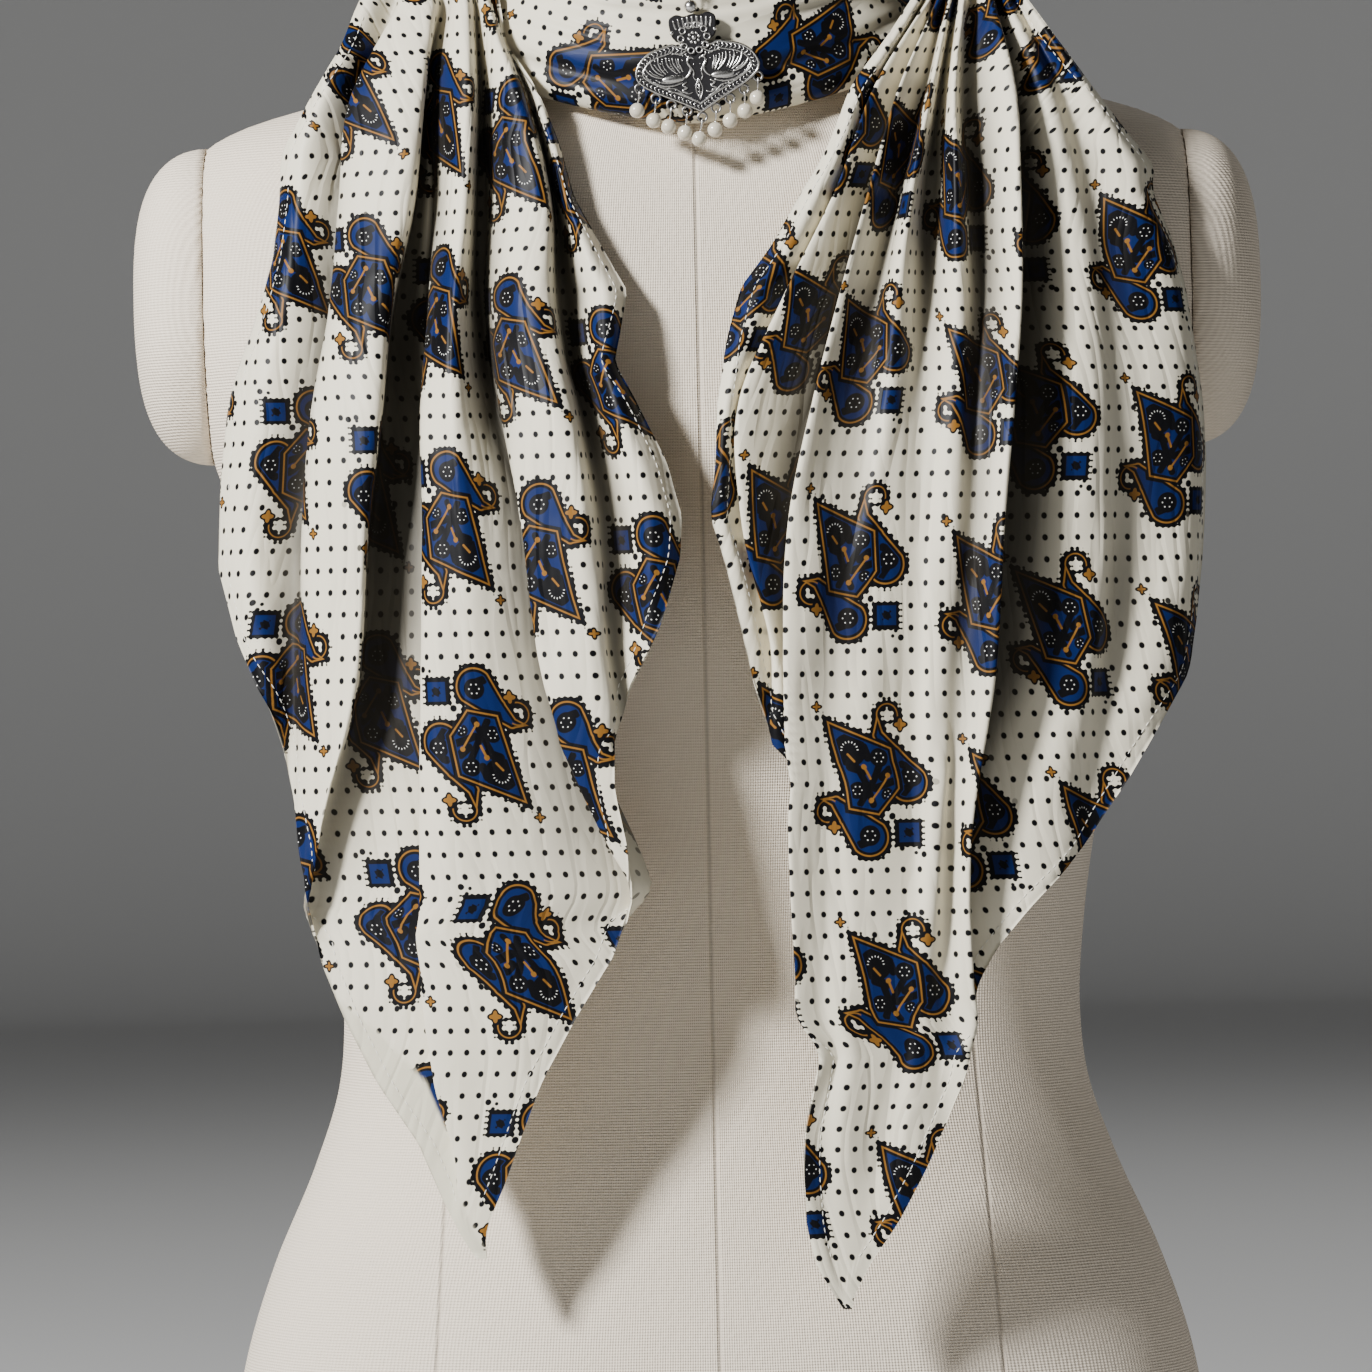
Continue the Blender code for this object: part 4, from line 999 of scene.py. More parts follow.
def tail_front(folds, outline, columns, heights):
    """The hanging part: (x, -d(x, z) - out, z) on a grid from hem to hem."""
    fold_x = np.array([flow(LEVELS, fold[1], heights) for fold in folds]).T
    fold_out = np.array([flow(OUT_LEVELS, fold[2], heights) for fold in folds]).T
    hems = np.array(sorted(outline))
    first = np.interp(heights, hems[:, 0], hems[:, 1])
    last = np.interp(heights, hems[:, 0], hems[:, 2])
    start = hem_places(fold_x, first, True)
    end = hem_places(fold_x, last, False)
    share = np.linspace(0, 1, columns)
    numbers = np.arange(len(folds))
    place = start[:, None] + (end - start)[:, None] * share
    x = np.array([flow(numbers, fold_x[row], place[row]) for row in range(len(heights))])
    out = np.array([flow(numbers, fold_out[row], place[row]) for row in range(len(heights))])
    near_start = np.clip(1 - (place - start[:, None]) / HEM_EASE, 0, 1)
    near_end = np.clip(1 - (end[:, None] - place) / HEM_EASE, 0, 1)
    x = x + (first - x[:, 0])[:, None] * near_start + (last - x[:, -1])[:, None] * near_end
    flatter = np.minimum(1.0, 0.1 + (heights - heights[0]) / TIP_FADE)[:, None]
    z = np.broadcast_to(heights[:, None], x.shape)
    depth = drape_depth(x, z) + FOLD_LIFT + out * flatter
    depth = np.maximum(depth, form_front(x, z) + CLEAR_OF_FORM)
    return np.stack([x, -depth, z], -1), place


def tail_sheet(folds, outline, wrap, outer_first):
    """A whole tail, evenly spaced from its tip up the front, over the shoulder, round the neck."""
    columns = (len(folds) - 1) * COLUMNS_PER_FOLD + 1
    tip = outline[-1][0]
    heights = tip + (LEVELS[0] - tip) * np.linspace(0, 1, FRONT_ROWS)
    front, place = tail_front(folds, outline, columns, heights)
    share = np.linspace(0, 1, columns)[:, None]
    numbers = np.arange(len(folds))
    top_out = flow(numbers, [fold[2][0] for fold in folds], share[:, 0] * numbers[-1])
    over = []
    for outer, inner, way_out, pleat_share in wrap:
        first, last = (outer, inner) if outer_first else (inner, outer)
        line = np.array(first) * (1 - share) + np.array(last) * share
        over.append(line + top_out[:, None] * np.array(way_out) * pleat_share)
    sheet = np.concatenate([front, np.array(over)])
    place = np.concatenate([place, np.repeat(share.T * numbers[-1], len(wrap), axis=0)])
    gone = along_path(sheet[:, columns // 2])
    even = np.linspace(0, gone[-1], SHEET_ROWS)
    return flow(gone, sheet, even), flow(gone, place, even), even


def faded_ends(t, share):
    """1 along a line's middle, 0 at both ends, with a soft change over a share of it."""
    return smooth_step(-0.02, share, t) * (1 - smooth_step(1 - share, 1.02, t))


def press_creases(points, place, creases):
    """Move a sheet along its normals by the sum of its creases.

    Each adds d exp(-(s / w)^2) e(t), where s is the distance across from the crease's line, t
    the share along it and e fades both of its ends.
    """
    z = points[..., 2]
    depth = np.zeros(z.shape)
    for fold_top, z_top, fold_low, z_low, deep, width in creases:
        t = (z_top - z) / (z_top - z_low)
        line = fold_top + (fold_low - fold_top) * np.clip(t, 0, 1)
        across = np.exp(-((place - line) / width) ** 2)
        depth += CREASE_GROWTH * deep * across * faded_ends(t, 0.3)
    return points + grid_normals(points) * depth[..., None]


def hem_distance(points):
    """Distance along the cloth from the nearer side hem."""
    across = arc_lengths(points, 1)
    return np.minimum(across, across[:, -1:] - across)


# Painted shade: how far a point's colour is darkened, from how deep it lies below the pleats beside it.
def painted_shade_places(points):
    """0 to 1: how deep a point lies below the highest of its neighbours across the cloth."""
    out = -points[..., 1] - drape_depth(points[..., 0], points[..., 2])
    high = out.copy()
    for step in range(1, COLUMNS_PER_FOLD * 3 // 2):
        high[:, step:] = np.maximum(high[:, step:], out[:, :-step])
        high[:, :-step] = np.maximum(high[:, :-step], out[:, step:])
    in_front = 1 - smooth_step(*PAINTED_SHADE_TOP, points[..., 2])
    return smooth_step(*PAINTED_SHADE_DEPTHS, high - out) * in_front


# %% Creases and the print's places
# Creases: fold number and height at the top, the same at the foot, depth in mm (+ out), width
# in folds.
LEFT_CREASES = (
    (1.4, 470, 1.9, 330, -1.0, 0.35), (0.8, 400, 1.6, 250, 0.9, 0.45),
    (3.6, 500, 3.2, 380, 0.8, 0.28), (3.9, 420, 3.5, 250, -1.0, 0.3),
    (6.9, 520, 7.4, 400, 0.9, 0.3), (7.6, 470, 7.9, 300, -1.2, 0.3),
    (7.4, 330, 8.1, 180, 1.2, 0.35), (7.9, 300, 7.7, 150, -0.9, 0.3),
    (10.4, 520, 10.8, 420, 0.9, 0.3), (10.7, 440, 10.2, 330, -1.1, 0.35),
    (11.4, 400, 10.9, 290, 1.0, 0.3), (5.0, 260, 6.5, 170, 1.3, 0.6),
    (4.0, 330, 5.6, 215, -1.0, 0.5), (9.2, 260, 8.6, 160, -1.2, 0.5),
    (12.4, 380, 12.2, 280, 0.8, 0.35), (2.6, 300, 4.0, 200, 1.0, 0.4),
)
RIGHT_CREASES = (
    (5.4, 470, 5.7, 380, -0.9, 0.3), (5.8, 420, 5.4, 330, 0.9, 0.3),
    (7.3, 450, 6.8, 330, -0.9, 0.35), (8.3, 400, 8.6, 290, 0.8, 0.35),
    (7.5, 360, 8.4, 250, -1.0, 0.4), (9.4, 330, 9.1, 230, 1.1, 0.35),
    (12.4, 500, 12.7, 400, 0.9, 0.35), (13.2, 420, 12.6, 300, -1.1, 0.35),
    (14.4, 430, 13.8, 320, -1.2, 0.4), (15.0, 400, 14.4, 300, 1.1, 0.35),
    (6.3, 250, 7.2, 150, 0.9, 0.45), (8.8, 230, 8.2, 140, -1.2, 0.5),
    (1.6, 470, 1.3, 380, -0.8, 0.3), (2.5, 360, 2.2, 260, 0.8, 0.3),
    (10.2, 300, 9.8, 215, -1.0, 0.35), (13.8, 300, 13.2, 240, 1.0, 0.4),
)
# Where the print lies on each sheet: its turn in degrees, and where the middle of one leaf is
# on the hung cloth, x and z.
LEFT_PRINT = (180.0, -84.0, 318.0)
RIGHT_PRINT = (0.0, 52.0, 383.0)
# The left tail's bare strip along its outer hem: height, width of the strip
LEFT_BARE = ((112, 0.0), (135, 6.0), (165, 12.0), (195, 20.0), (215, 10.0), (228, 0.0), (650, 0.0))
RIGHT_BARE = ((100, 0.0), (650, 0.0))
print("creases:", len(LEFT_CREASES), "left,", len(RIGHT_CREASES), "right")


def turned_print(points, across, down, turned):
    """A sheet's flat coordinates, moved and turned so that a leaf's middle lies where it should.

    Where cloth lies over cloth the point in front is taken, so depth counts a little too.
    """
    angle, leaf_x, leaf_z = turned
    miss = np.hypot(points[..., 0] - leaf_x, points[..., 2] - leaf_z) + points[..., 1] * 0.05
    nearest = np.unravel_index(miss.argmin(), miss.shape)
    across = across - across[nearest]
    down = down - down[nearest]
    turn = math.radians(angle)
    u = across * math.cos(turn) - down * math.sin(turn)
    v = across * math.sin(turn) + down * math.cos(turn)
    return np.stack([u, v], -1)


def print_places(points, place, even, turned, reference_fold):
    """Flat coordinates in the print: arc length across from one fold's line, and down."""
    across = arc_lengths(points, 1)
    line = [np.interp(reference_fold, row, gone) for row, gone in zip(place, across)]
    across = across - np.array(line)[:, None]
    down = np.broadcast_to(even[:, None], across.shape)
    return turned_print(points, across, down, turned)


# %% Both tails
def make_tail(word, folds, outline, wrap, creases, turned, bare, reference_fold):
    """One tail: its sheet, the print's place on it, its creases and its hems."""
    outer_first = word == "left"
    sheet, place, even = tail_sheet(folds, outline, wrap, outer_first)
    flat = print_places(sheet, place, even, turned, reference_fold)
    strip = np.interp(sheet[..., 2], *np.array(bare).T)
    unprinted = 1 - smooth_step(strip - 1.0, strip + 1.0, arc_lengths(sheet, 1) + 1.0)
    sheet, place, flat, unprinted = [x[:, ::-1] for x in (sheet, place, flat, unprinted)]
    sheet = press_creases(sheet, place, creases)
    hem = 1 - smooth_step(HEM_WIDTH - 0.8, HEM_WIDTH, hem_distance(sheet))
    tail = cloth_shell(word + "_tail", sheet, HALF_WALL + HEM_WALL * hem, flat, unprinted,
                       painted_shade_places(sheet), silk)
    print(word, "tail: widest", round(arc_lengths(sheet, 1)[:, -1].max()), "mm, long",
          round(even[-1]), "mm")
    return tail, sheet


left_tail, left_sheet = make_tail(
    "left", LEFT_FOLDS, LEFT_OUTLINE, LEFT_WRAP, LEFT_CREASES, LEFT_PRINT, LEFT_BARE, 8)
right_tail, right_sheet = make_tail(
    "right", RIGHT_FOLDS, RIGHT_OUTLINE, RIGHT_WRAP, RIGHT_CREASES, RIGHT_PRINT, RIGHT_BARE, 5)
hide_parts("scarf_tail_left", "scarf_nape_under")
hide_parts("scarf_tail_right", "scarf_nape_over")
for piece in (left_tail, right_tail):
    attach(piece, "dressed_form")

# %% [markdown]
# ## The band round the neck
#
# The middle of the fold, gathered.  Its section runs from the edge that is turned in below, up
# the front and over the top.  Long soft folds run along it, which is what gathering leaves.

# %% The band's surface
BAND_COLUMNS = 241
BAND_LINES = 85
# Folds along the band: angle and share of its height where each starts, the same where it
# ends, depth in mm (+ out), width as a share of the height.
BAND_FOLDS = (
    (-80, 0.30, -8, 0.16, -1.6, 0.045), (-76, 0.52, 10, 0.40, 1.3, 0.05),
    (-60, 0.62, 30, 0.66, -1.5, 0.04), (-30, 0.30, 60, 0.34, 1.1, 0.05),
    (0, 0.20, 78, 0.42, -1.6, 0.045), (14, 0.52, 80, 0.66, -1.7, 0.045),
    (-78, 0.74, -18, 0.60, 1.4, 0.045), (10, 0.74, 76, 0.84, 1.4, 0.045),
    (-40, 0.10, 24, 0.09, 0.9, 0.04), (-84, 0.14, -44, 0.22, 1.2, 0.05),
)
BAND_PRINT = (90.0, 47.0, 575.0)


def band_points():
    """(a sin t, -b cos t, h): the section turned round the neck, with t from side to side.

    a and b are the table's half widths plus the section's own way out, and h rises towards the
    sides as (1 - cos t)^p.
    """
    table = np.array(BAND_SECTION)
    line = np.linspace(0, len(table) - 1, BAND_LINES)
    share, out = flow(np.arange(len(table)), table, line).T[:, None]
    turn = np.radians(np.linspace(-BAND_REACH, BAND_REACH, BAND_COLUMNS))[:, None]
    pressed = 0
    for start, low, end, high, deep, width in BAND_FOLDS:
        t = (np.degrees(turn) - start) / (end - start)
        middle = low + (high - low) * np.clip(t, 0, 1)
        across = np.exp(-((share - middle) / width) ** 2)
        outer = smooth_step(-8.0, -3.0, out)
        pressed = pressed + deep * across * faded_ends(t, 0.25) * outer
    out = out + pressed
    rise = (1 - np.cos(turn)) ** BAND_RISE_POWER
    low = BAND_LOW + BAND_RISE * rise
    high = BAND_TOP + BAND_TOP_RISE * rise
    half = BAND_LOW_HALF_WIDTH + (BAND_TOP_HALF_WIDTH - BAND_LOW_HALF_WIDTH) * share
    x = (half + out) * np.sin(turn)
    y = -(BAND_FRONT + out) * np.cos(turn)
    z = low + (high - low) * share + 0 * x
    # Painted shade on the band: its colour is darkened where its folds press in.
    return np.stack([x, y, z], -1), smooth_step(0.4, 3.2, -pressed)


band_sheet, band_painted_shade = band_points()
band_line = arc_lengths(band_sheet, 0)[:, BAND_LINES // 3]
band_across = arc_lengths(band_sheet, 1)
along = np.broadcast_to(band_line[:, None], band_across.shape)
flat = turned_print(band_sheet, along, band_across, BAND_PRINT)
printed = np.zeros(band_across.shape)
band = cloth_shell("neck_band", band_sheet, printed + HALF_WALL, flat, printed, band_painted_shade, silk)
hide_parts("scarf_front_band")
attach(band, "dressed_form")
print("band: along", round(band_line[-1]), "mm, across", round(band_across[0, -1]), "mm")

# %% [markdown]
# ## Small solids for the pendant
#
# The pendant is cast relief: strokes and beads on a dark ground.  Tubes and beads made from
# arrays and joined into one mesh keep it a few objects.  A height map would be lighter, but its
# edges blur at this size.

# %% Tubes, beads and joined meshes
def tube(path, radii, sides=8, closed=False, around=(0.0, 1.0, 0.0)):
    """A tube along a path: p(s) + r(s) (cos t  n + sin t  b), n lying across the path."""
    path = np.asarray(path, float)
    radii = np.broadcast_to(np.asarray(radii, float), (len(path),))
    along = ways_round(path) if closed else unit(np.gradient(path, axis=0))
    side = unit(np.cross(along, np.asarray(around, float)))
    up = np.cross(side, along)
    turn = circle_turns(sides)[None, :, None]
    ring = np.cos(turn) * side[:, None] + np.sin(turn) * up[:, None]
    points = path[:, None] + radii[:, None, None] * ring
    faces = grid_faces(len(path), sides, closed_rows=closed, closed_columns=True).tolist()
    vertices = points.reshape(-1, 3)
    if not closed:
        faces.append(list(range(sides))[::-1])
        faces.append(list(range(len(vertices) - sides, len(vertices))))
    return vertices, faces


def bead(centre, radii, around, rings):
    """An ellipsoid: m + (a cos u cos v, b cos u sin v, c sin u), with a corner at each pole."""
    radii = np.broadcast_to(np.asarray(radii, float), (3,))
    lift = np.linspace(-math.pi / 2, math.pi / 2, rings + 1)[1:-1, None]
    turn = circle_turns(around)[None]
    ball = np.stack([
        np.cos(lift) * np.cos(turn), np.cos(lift) * np.sin(turn), np.sin(lift) + 0 * turn], -1)
    vertices = np.concatenate([ball.reshape(-1, 3), [[0, 0, -1]], [[0, 0, 1]]]) * radii
    return vertices + np.asarray(centre, float), stack_faces(ball.shape[0], around)


def joined(parts):
    """Several (vertices, faces) pairs as one."""
    vertices = []
    faces = []
    start = 0
    for part_vertices, part_faces in parts:
        vertices.append(part_vertices)
        faces += [[corner + start for corner in face] for face in part_faces]
        start += len(part_vertices)
    return np.concatenate(vertices), faces


def outward(thing):
    """Turn every closed part of a mesh so that its faces look out."""
    work = bmesh.new()
    work.from_mesh(thing.data)
    bmesh.ops.recalc_face_normals(work, faces=work.faces)
    work.to_mesh(thing.data)
    work.free()
    return thing


def metal(name, colour, roughness, speckle):
    """Silver with a little unevenness in its polish."""
    shader = Shader(name)
    place = shader.node("ShaderNodeTexCoord", output=3)
    spots = shader.node("ShaderNodeTexNoise", {"Vector": place, "Scale": 900.0, "Detail": 2.0})
    shader.feed("Base Color", colour)
    shader.feed("Metallic", 1.0)
    shader.feed("Roughness", spots * speckle + roughness)
    bump = shader.node("ShaderNodeBump", {"Height": spots, "Strength": 0.25, "Distance": 0.0002})
    shader.feed("Normal", bump)
    return shader.material


def pearl_lustre():
    """Cream pearl: a smooth coat over a slightly clouded body."""
    shader = Shader("cream pearl")
    place = shader.node("ShaderNodeTexCoord", output=3)
    cloud = shader.node("ShaderNodeTexNoise", {"Vector": place, "Scale": 260.0, "Detail": 2.0})
    shader.feed("Base Color", shader.blend(cloud, (0.56, 0.50, 0.38, 1), (0.66, 0.61, 0.49, 1)))
    shader.feed("Roughness", 0.25)
    shader.feed("Coat Weight", 1.0)
    shader.feed("Coat Roughness", 0.08)
    shader.feed("Sheen Weight", 0.2)
    return shader.material


bright_silver = metal("bright silver", (0.66, 0.645, 0.62, 1), 0.16, 0.2)
aged_silver = metal("aged silver", (0.33, 0.32, 0.31, 1), 0.22, 0.2)
dark_silver = metal("blackened silver", (0.035, 0.034, 0.036, 1), 0.45, 0.3)
pearl_finish = pearl_lustre()
print("finishes ready")

# %% [markdown]
# ## The pendant
#
# Everything is drawn in the plate's own plane, x from its middle and z from its top, and is then
# turned by the small angle at which the pendant hangs.

# %% The pendant's sizes
SEWN_RING_RADIUS = 2.2
WIRE = 0.9
RING_RADIUS = 1.65
RING_OVERHANG = 0.1
LINK_WIRE = 0.7
LINK_RADIUS = 1.2
LINK_DROP = 3.0
PEARL_DIAMETER = 5.7
PIN_RADIUS = 0.28          # the pin from the link into its pearl
PLATE_THICKNESS = 2.2
TOP_BEAD_DIAMETER = 5.0
PENDANT_TILT = 5.0
HINGE_HEIGHT = 596.0
HINGE_FRONT = -97.5

# The pendant's plate, half of its outline in its own plane, from the top to the bottom point.
# x from its middle line, z from the plate's top
PLATE_OUTLINE = (
    (2.6, 0.6), (4.6, -1), (6.2, -1.8), (8.2, -0.9), (10.2, -1.2), (12, -1.7), (14.5, -2.2),
    (17.6, -3.4), (20.4, -5.4), (22.4, -8), (23.3, -10.8), (22.8, -13.4), (20.4, -16),
    (16, -18.8), (11, -21.4), (6, -24), (2.4, -26), (0, -27.2),
)
WIDEST_ROW = 10            # the rows from here on are the plate's lower edge
# The same for the crown that stands on the plate, z from the crown's base.
CROWN_OUTLINE = (
    (0, 10), (3, 9.4), (5.8, 10.2), (8.2, 9.2), (8.6, 4.6), (7.6, 1.4), (5.4, 0.2),
    (3.2, 0), (0, 0.4),
)
CROWN_RELIEF = 0.6         # how far the crown's front stands before the plate's
CROWN_BASE = 576.9         # just below the plate's top, as both are one casting
PLATE_TOP = 577.5          # world height of the plate's top
PLATE_MIDDLE = -1.0        # world x of the plate's top
RING_PLACES = (-22.0, -16.4, -10.9, -5.4, 0.0, 5.4, 10.9, 16.4, 22.0)
# how each pearl leans from the plumb line, degrees, left to right
PEARL_LEANS = (-9, -8, -10, -8, -11, -5, -2, 0, -4)

# Strokes of one half of the relief, drawn for the right and mirrored: thickness, then points.
RELIEF = (
    (0.55, ((4.6, -14), (3, -12.4), (2.4, -10.2), (3.4, -8.2), (2.9, -6.6), (1.7, -6.7))),
    (0.34, ((1.8, -6.6), (1, -7.3))),
    (0.34, ((3.2, -6.2), (3.8, -5.2), (3.4, -4.6))),
    (0.42, ((13, -13.2), (15.8, -12.4), (18.2, -10.6), (19.4, -8.6))),
    (0.42, ((12.6, -12.4), (15, -10.8), (16.6, -8.4), (17.2, -6.2))),
    (0.40, ((11.8, -11.9), (13.4, -9.6), (14.2, -7.2), (14, -5.2))),
    (0.38, ((7.4, -12.2), (9.4, -10.4), (11, -8), (11.2, -5.6))),
    (0.36, ((6.4, -12), (7.4, -10.2), (8.6, -8.2), (8.8, -6))),
    (0.34, ((5.6, -11.6), (6, -9.8), (6.6, -8.2), (6.6, -6.4))),
    (0.40, ((6, -15.6), (9.6, -16.4), (13.4, -16), (16.8, -14.2))),
    (0.36, ((4.2, -15.4), (6, -16.6), (4.4, -17.6), (6.4, -18.6), (4.4, -19.4))),
    (0.36, ((1.9, -22.6), (4.6, -20.8), (8, -19.2), (11.4, -18.4))),
    (0.30, ((2.4, -19.4), (4, -19.9), (6, -19))),
    (0.28, ((2.2, -10), (1.4, -12), (1.7, -14), (1, -15.2))),
    (0.28, ((4.4, -4.4), (5.6, -5.4), (7.2, -4.5), (9, -4.9))),
    (0.28, ((19.9, -10.4), (18.6, -12.8), (16.2, -14.9), (12.6, -16.9))),
    (0.24, ((17.8, -9.8), (16.2, -11.4), (14.2, -12.4))),
    (0.24, ((15.8, -7.7), (14.7, -9.6), (13.2, -11.3))),
    (0.24, ((12.7, -6.6), (12.3, -9), (10.9, -11.5))),
    (0.24, ((10, -6.4), (9.5, -8.6), (8.2, -11))),
    (0.24, ((7.6, -6.4), (7.3, -8.4), (6.4, -10.7))),
    (0.28, ((7, -14.8), (10.4, -15.3), (13.6, -14.8), (15.8, -13.6))),
    (0.26, ((3.2, -21.4), (5.8, -19.9), (8.8, -17.6), (12.2, -17.2))),
)
# Small beads that fill the ground of one half: x, z, radius
GRAINS = (
    (18.9, -11.9, 0.42), (15.3, -6.6, 0.38), (12.6, -6.2, 0.38), (10, -6.2, 0.34),
    (5.2, -7.4, 0.34), (4.9, -5.6, 0.34), (14.4, -14.6, 0.4), (11.6, -14.9, 0.4),
    (8.8, -17.9, 0.36), (11, -17, 0.36), (2.2, -4.8, 0.34), (16.9, -3.9, 0.3),
    (13.3, -7.9, 0.28), (16, -9.5, 0.28), (18.2, -7.2, 0.28), (11.9, -10.2, 0.28),
    (9.1, -9.8, 0.26), (7.1, -9.6, 0.26), (17.6, -13.3, 0.3), (15.4, -16, 0.3),
    (9.6, -19.9, 0.28), (7, -21, 0.28), (4.4, -22.4, 0.28), (2.2, -23.6, 0.28),
    (3.4, -3.4, 0.28), (6.2, -3.6, 0.28), (8.2, -3.2, 0.28), (1.2, -9.2, 0.26),
)

# Rails along the plate's edge: how far in, radius.  The braid between them: how far in, step,
# half width, how far its points lie ahead, radius.
RAILS = ((0.55, 0.42), (3.1, 0.34))
BRAID = (1.8, 1.55, 0.85, 0.8, 0.24)
# The beads of one half that make a bird's body and head: x, z, half sizes, corners round, rings
BIRD_BEADS = (
    (9.2, -13.9, (4.4, 0.75, 1.5), 20, 10), (2.7, -6.5, (0.85, 0.7, 0.75), 12, 8),
)
# The leaf between the birds: middle height, half width, half height, radius of its line
LEAF = (-18.4, 1.25, 4.0, 0.26)
LEAF_VEINS = 5
# The rosette: its middle, its ring of small rings (how far out, radius, wire), its disc and the
# ring of beads on the disc
ROSETTE_MIDDLE = (0.0, 0.6)
ROSETTE_RINGS = 10
ROSETTE_RING = (4.9, 1.12, 0.34)
ROSETTE_DISC = 3.7
ROSETTE_BEADS = 8
ROSETTE_BEAD_REACH = 1.9
# Bars that fan out over the crown: how many, x of the first, step, foot and top above its base
CROWN_BARS = (9, -6.8, 1.7, 4.6, 9.2)
print("relief strokes:", 2 * len(RELIEF), "and grains:", 2 * len(GRAINS))


# %% Helpers in the pendant's plane
def tilted(points, pivot, degrees):
    """Points turned in the picture's plane about a pivot; positive lifts the right side."""
    turn = math.radians(degrees)
    x = points[:, 0] - pivot[0]
    z = points[:, 2] - pivot[2]
    turned = points.copy()
    turned[:, 0] = pivot[0] + x * math.cos(turn) - z * math.sin(turn)
    turned[:, 2] = pivot[2] + x * math.sin(turn) + z * math.cos(turn)
    return turned


PIVOT = (PLATE_MIDDLE, HINGE_FRONT, HINGE_HEIGHT)
FACE = HINGE_FRONT - PLATE_THICKNESS / 2 + 0.5


def on_plate(points, raised=0.0):
    """Points (x, z) of the plate's plane as places in the world, untilted."""
    points = np.asarray(points, float)
    depth = np.full(len(points), FACE - raised)
    return np.stack([PLATE_MIDDLE + points[:, 0], depth, PLATE_TOP + points[:, 1]], 1)


def both_halves(half_outline):
    """A whole outline from its right half."""
    half = np.array(half_outline)
    mirror = half[half[:, 0] > 0][::-1] * (-1, 1)
    return np.concatenate([half, mirror])


def evenly(path, step, closed=False):
    """A path again, smoothed through its points, with even steps."""
    path = np.asarray(path, float)
    if closed:
        path = np.concatenate([path[-3:], path, path[:3]])
    knots = along_path(path)
    first, last = (knots[3], knots[-3]) if closed else (0.0, knots[-1])
    count = max(3, int((last - first) / step))
    places = np.linspace(first, last, count, endpoint=not closed)
    return flow(knots, path, places)


def turned_in(ways):
    """Ways along an outline, turned a quarter to look inward."""
    return np.stack([ways[:, 1], -ways[:, 0]], 1)


def inset(outline, distance):
    """An outline moved inward by a distance."""
    return outline + turned_in(ways_round(outline)) * distance


def slab(outline, front, back, bevel):
    """A flat plate with softened edges: rings at full depth, drawn in by the bevel at each face."""
    rings = []
    for depth, moved in ((back, bevel), (back - bevel, 0.0), (front + bevel, 0.0), (front, bevel)):
        points = inset(outline, moved)
        rings.append(np.stack([
            PLATE_MIDDLE + points[:, 0], np.full(len(points), depth), points[:, 1]], 1))
    sides = len(outline)
    faces = grid_faces(4, sides, closed_columns=True).tolist()
    faces.append(list(range(sides))[::-1])
    faces.append(list(range(3 * sides, 4 * sides)))
    return np.concatenate(rings), faces


# %% The plate and its relief
outline = evenly(both_halves(PLATE_OUTLINE), 0.8, closed=True)
ground = slab(outline + (0, PLATE_TOP), FACE, HINGE_FRONT + PLATE_THICKNESS / 2, 0.35)
crown_outline = evenly(both_halves(CROWN_OUTLINE), 0.7, closed=True)
crown_front = FACE - CROWN_RELIEF
crown = slab(crown_outline + (0, CROWN_BASE), crown_front, HINGE_FRONT + 0.9, 0.45)

relief = []
for distance, radius in RAILS:
    rail = on_plate(evenly(inset(outline, distance), 0.7, closed=True))
    relief.append(tube(rail, radius, closed=True))
braid_inset, braid_step, half, lead, radius = BRAID
braid = evenly(inset(outline, braid_inset), braid_step, closed=True)
ahead = ways_round(braid)
for place, forward, across in zip(braid, ahead, turned_in(ahead)):
    foot = place - forward * 0.35
    chevron = [foot + across * half, foot + forward * lead, foot - across * half]
    relief.append(tube(on_plate(chevron), radius, sides=6))
for side in (1, -1):
    for thick, points in RELIEF:
        line = evenly(np.array(points) * (side, 1), 0.55)
        swell = thick * (0.65 + 0.35 * np.sin(np.linspace(0.2, math.pi - 0.1, len(line))))
        relief.append(tube(on_plate(line, 0.1), swell))
    for x, z, radius in GRAINS:
        relief.append(bead(on_plate([(side * x, z)])[0], radius, 8, 6))
    for x, z, radii, around, rings in BIRD_BEADS:
        relief.append(bead(on_plate([(side * x, z)])[0], radii, around, rings))
leaf_z, leaf_wide, leaf_tall, radius = LEAF
leaf_turn = circle_turns(22)
leaf = np.stack([
    leaf_wide * np.sin(leaf_turn) ** 3, leaf_z + leaf_tall * np.cos(leaf_turn)], 1)
relief.append(tube(on_plate(leaf, 0.1), radius, closed=True, sides=6))
relief.append(tube(on_plate([(0, -22.0), (0, leaf_z), (0, -15.0)], 0.15), 0.2, sides=6))
for vein in range(LEAF_VEINS):
    z = -21.0 + vein * 1.25
    line = [(-0.75, z + 0.55), (0, z), (0.75, z + 0.55)]
    relief.append(tube(on_plate(line, 0.15), 0.15, sides=5))

reach, radius, wire = ROSETTE_RING
for middle in circle(ROSETTE_MIDDLE, reach, ROSETTE_RINGS):
    relief.append(tube(on_plate(circle(middle, radius, 14), 0.75), wire, closed=True, sides=7))
rosette_disc = circle(ROSETTE_MIDDLE, ROSETTE_DISC, 14)
disc = slab(rosette_disc + (0, PLATE_TOP), crown_front - 0.05, crown_front + 1.2, 0.3)
for number in range(ROSETTE_BEADS):
    turn = 2 * math.pi * number / ROSETTE_BEADS + 0.2
    way = np.array([math.cos(turn), math.sin(turn)])
    middle = np.array(ROSETTE_MIDDLE) + ROSETTE_BEAD_REACH * way
    relief.append(bead(on_plate([middle], 0.75)[0], (0.62, 0.4, 0.62), 10, 6))
relief.append(bead(on_plate([ROSETTE_MIDDLE], 0.85)[0], (0.9, 0.5, 0.9), 12, 8))
crown_base = CROWN_BASE - PLATE_TOP
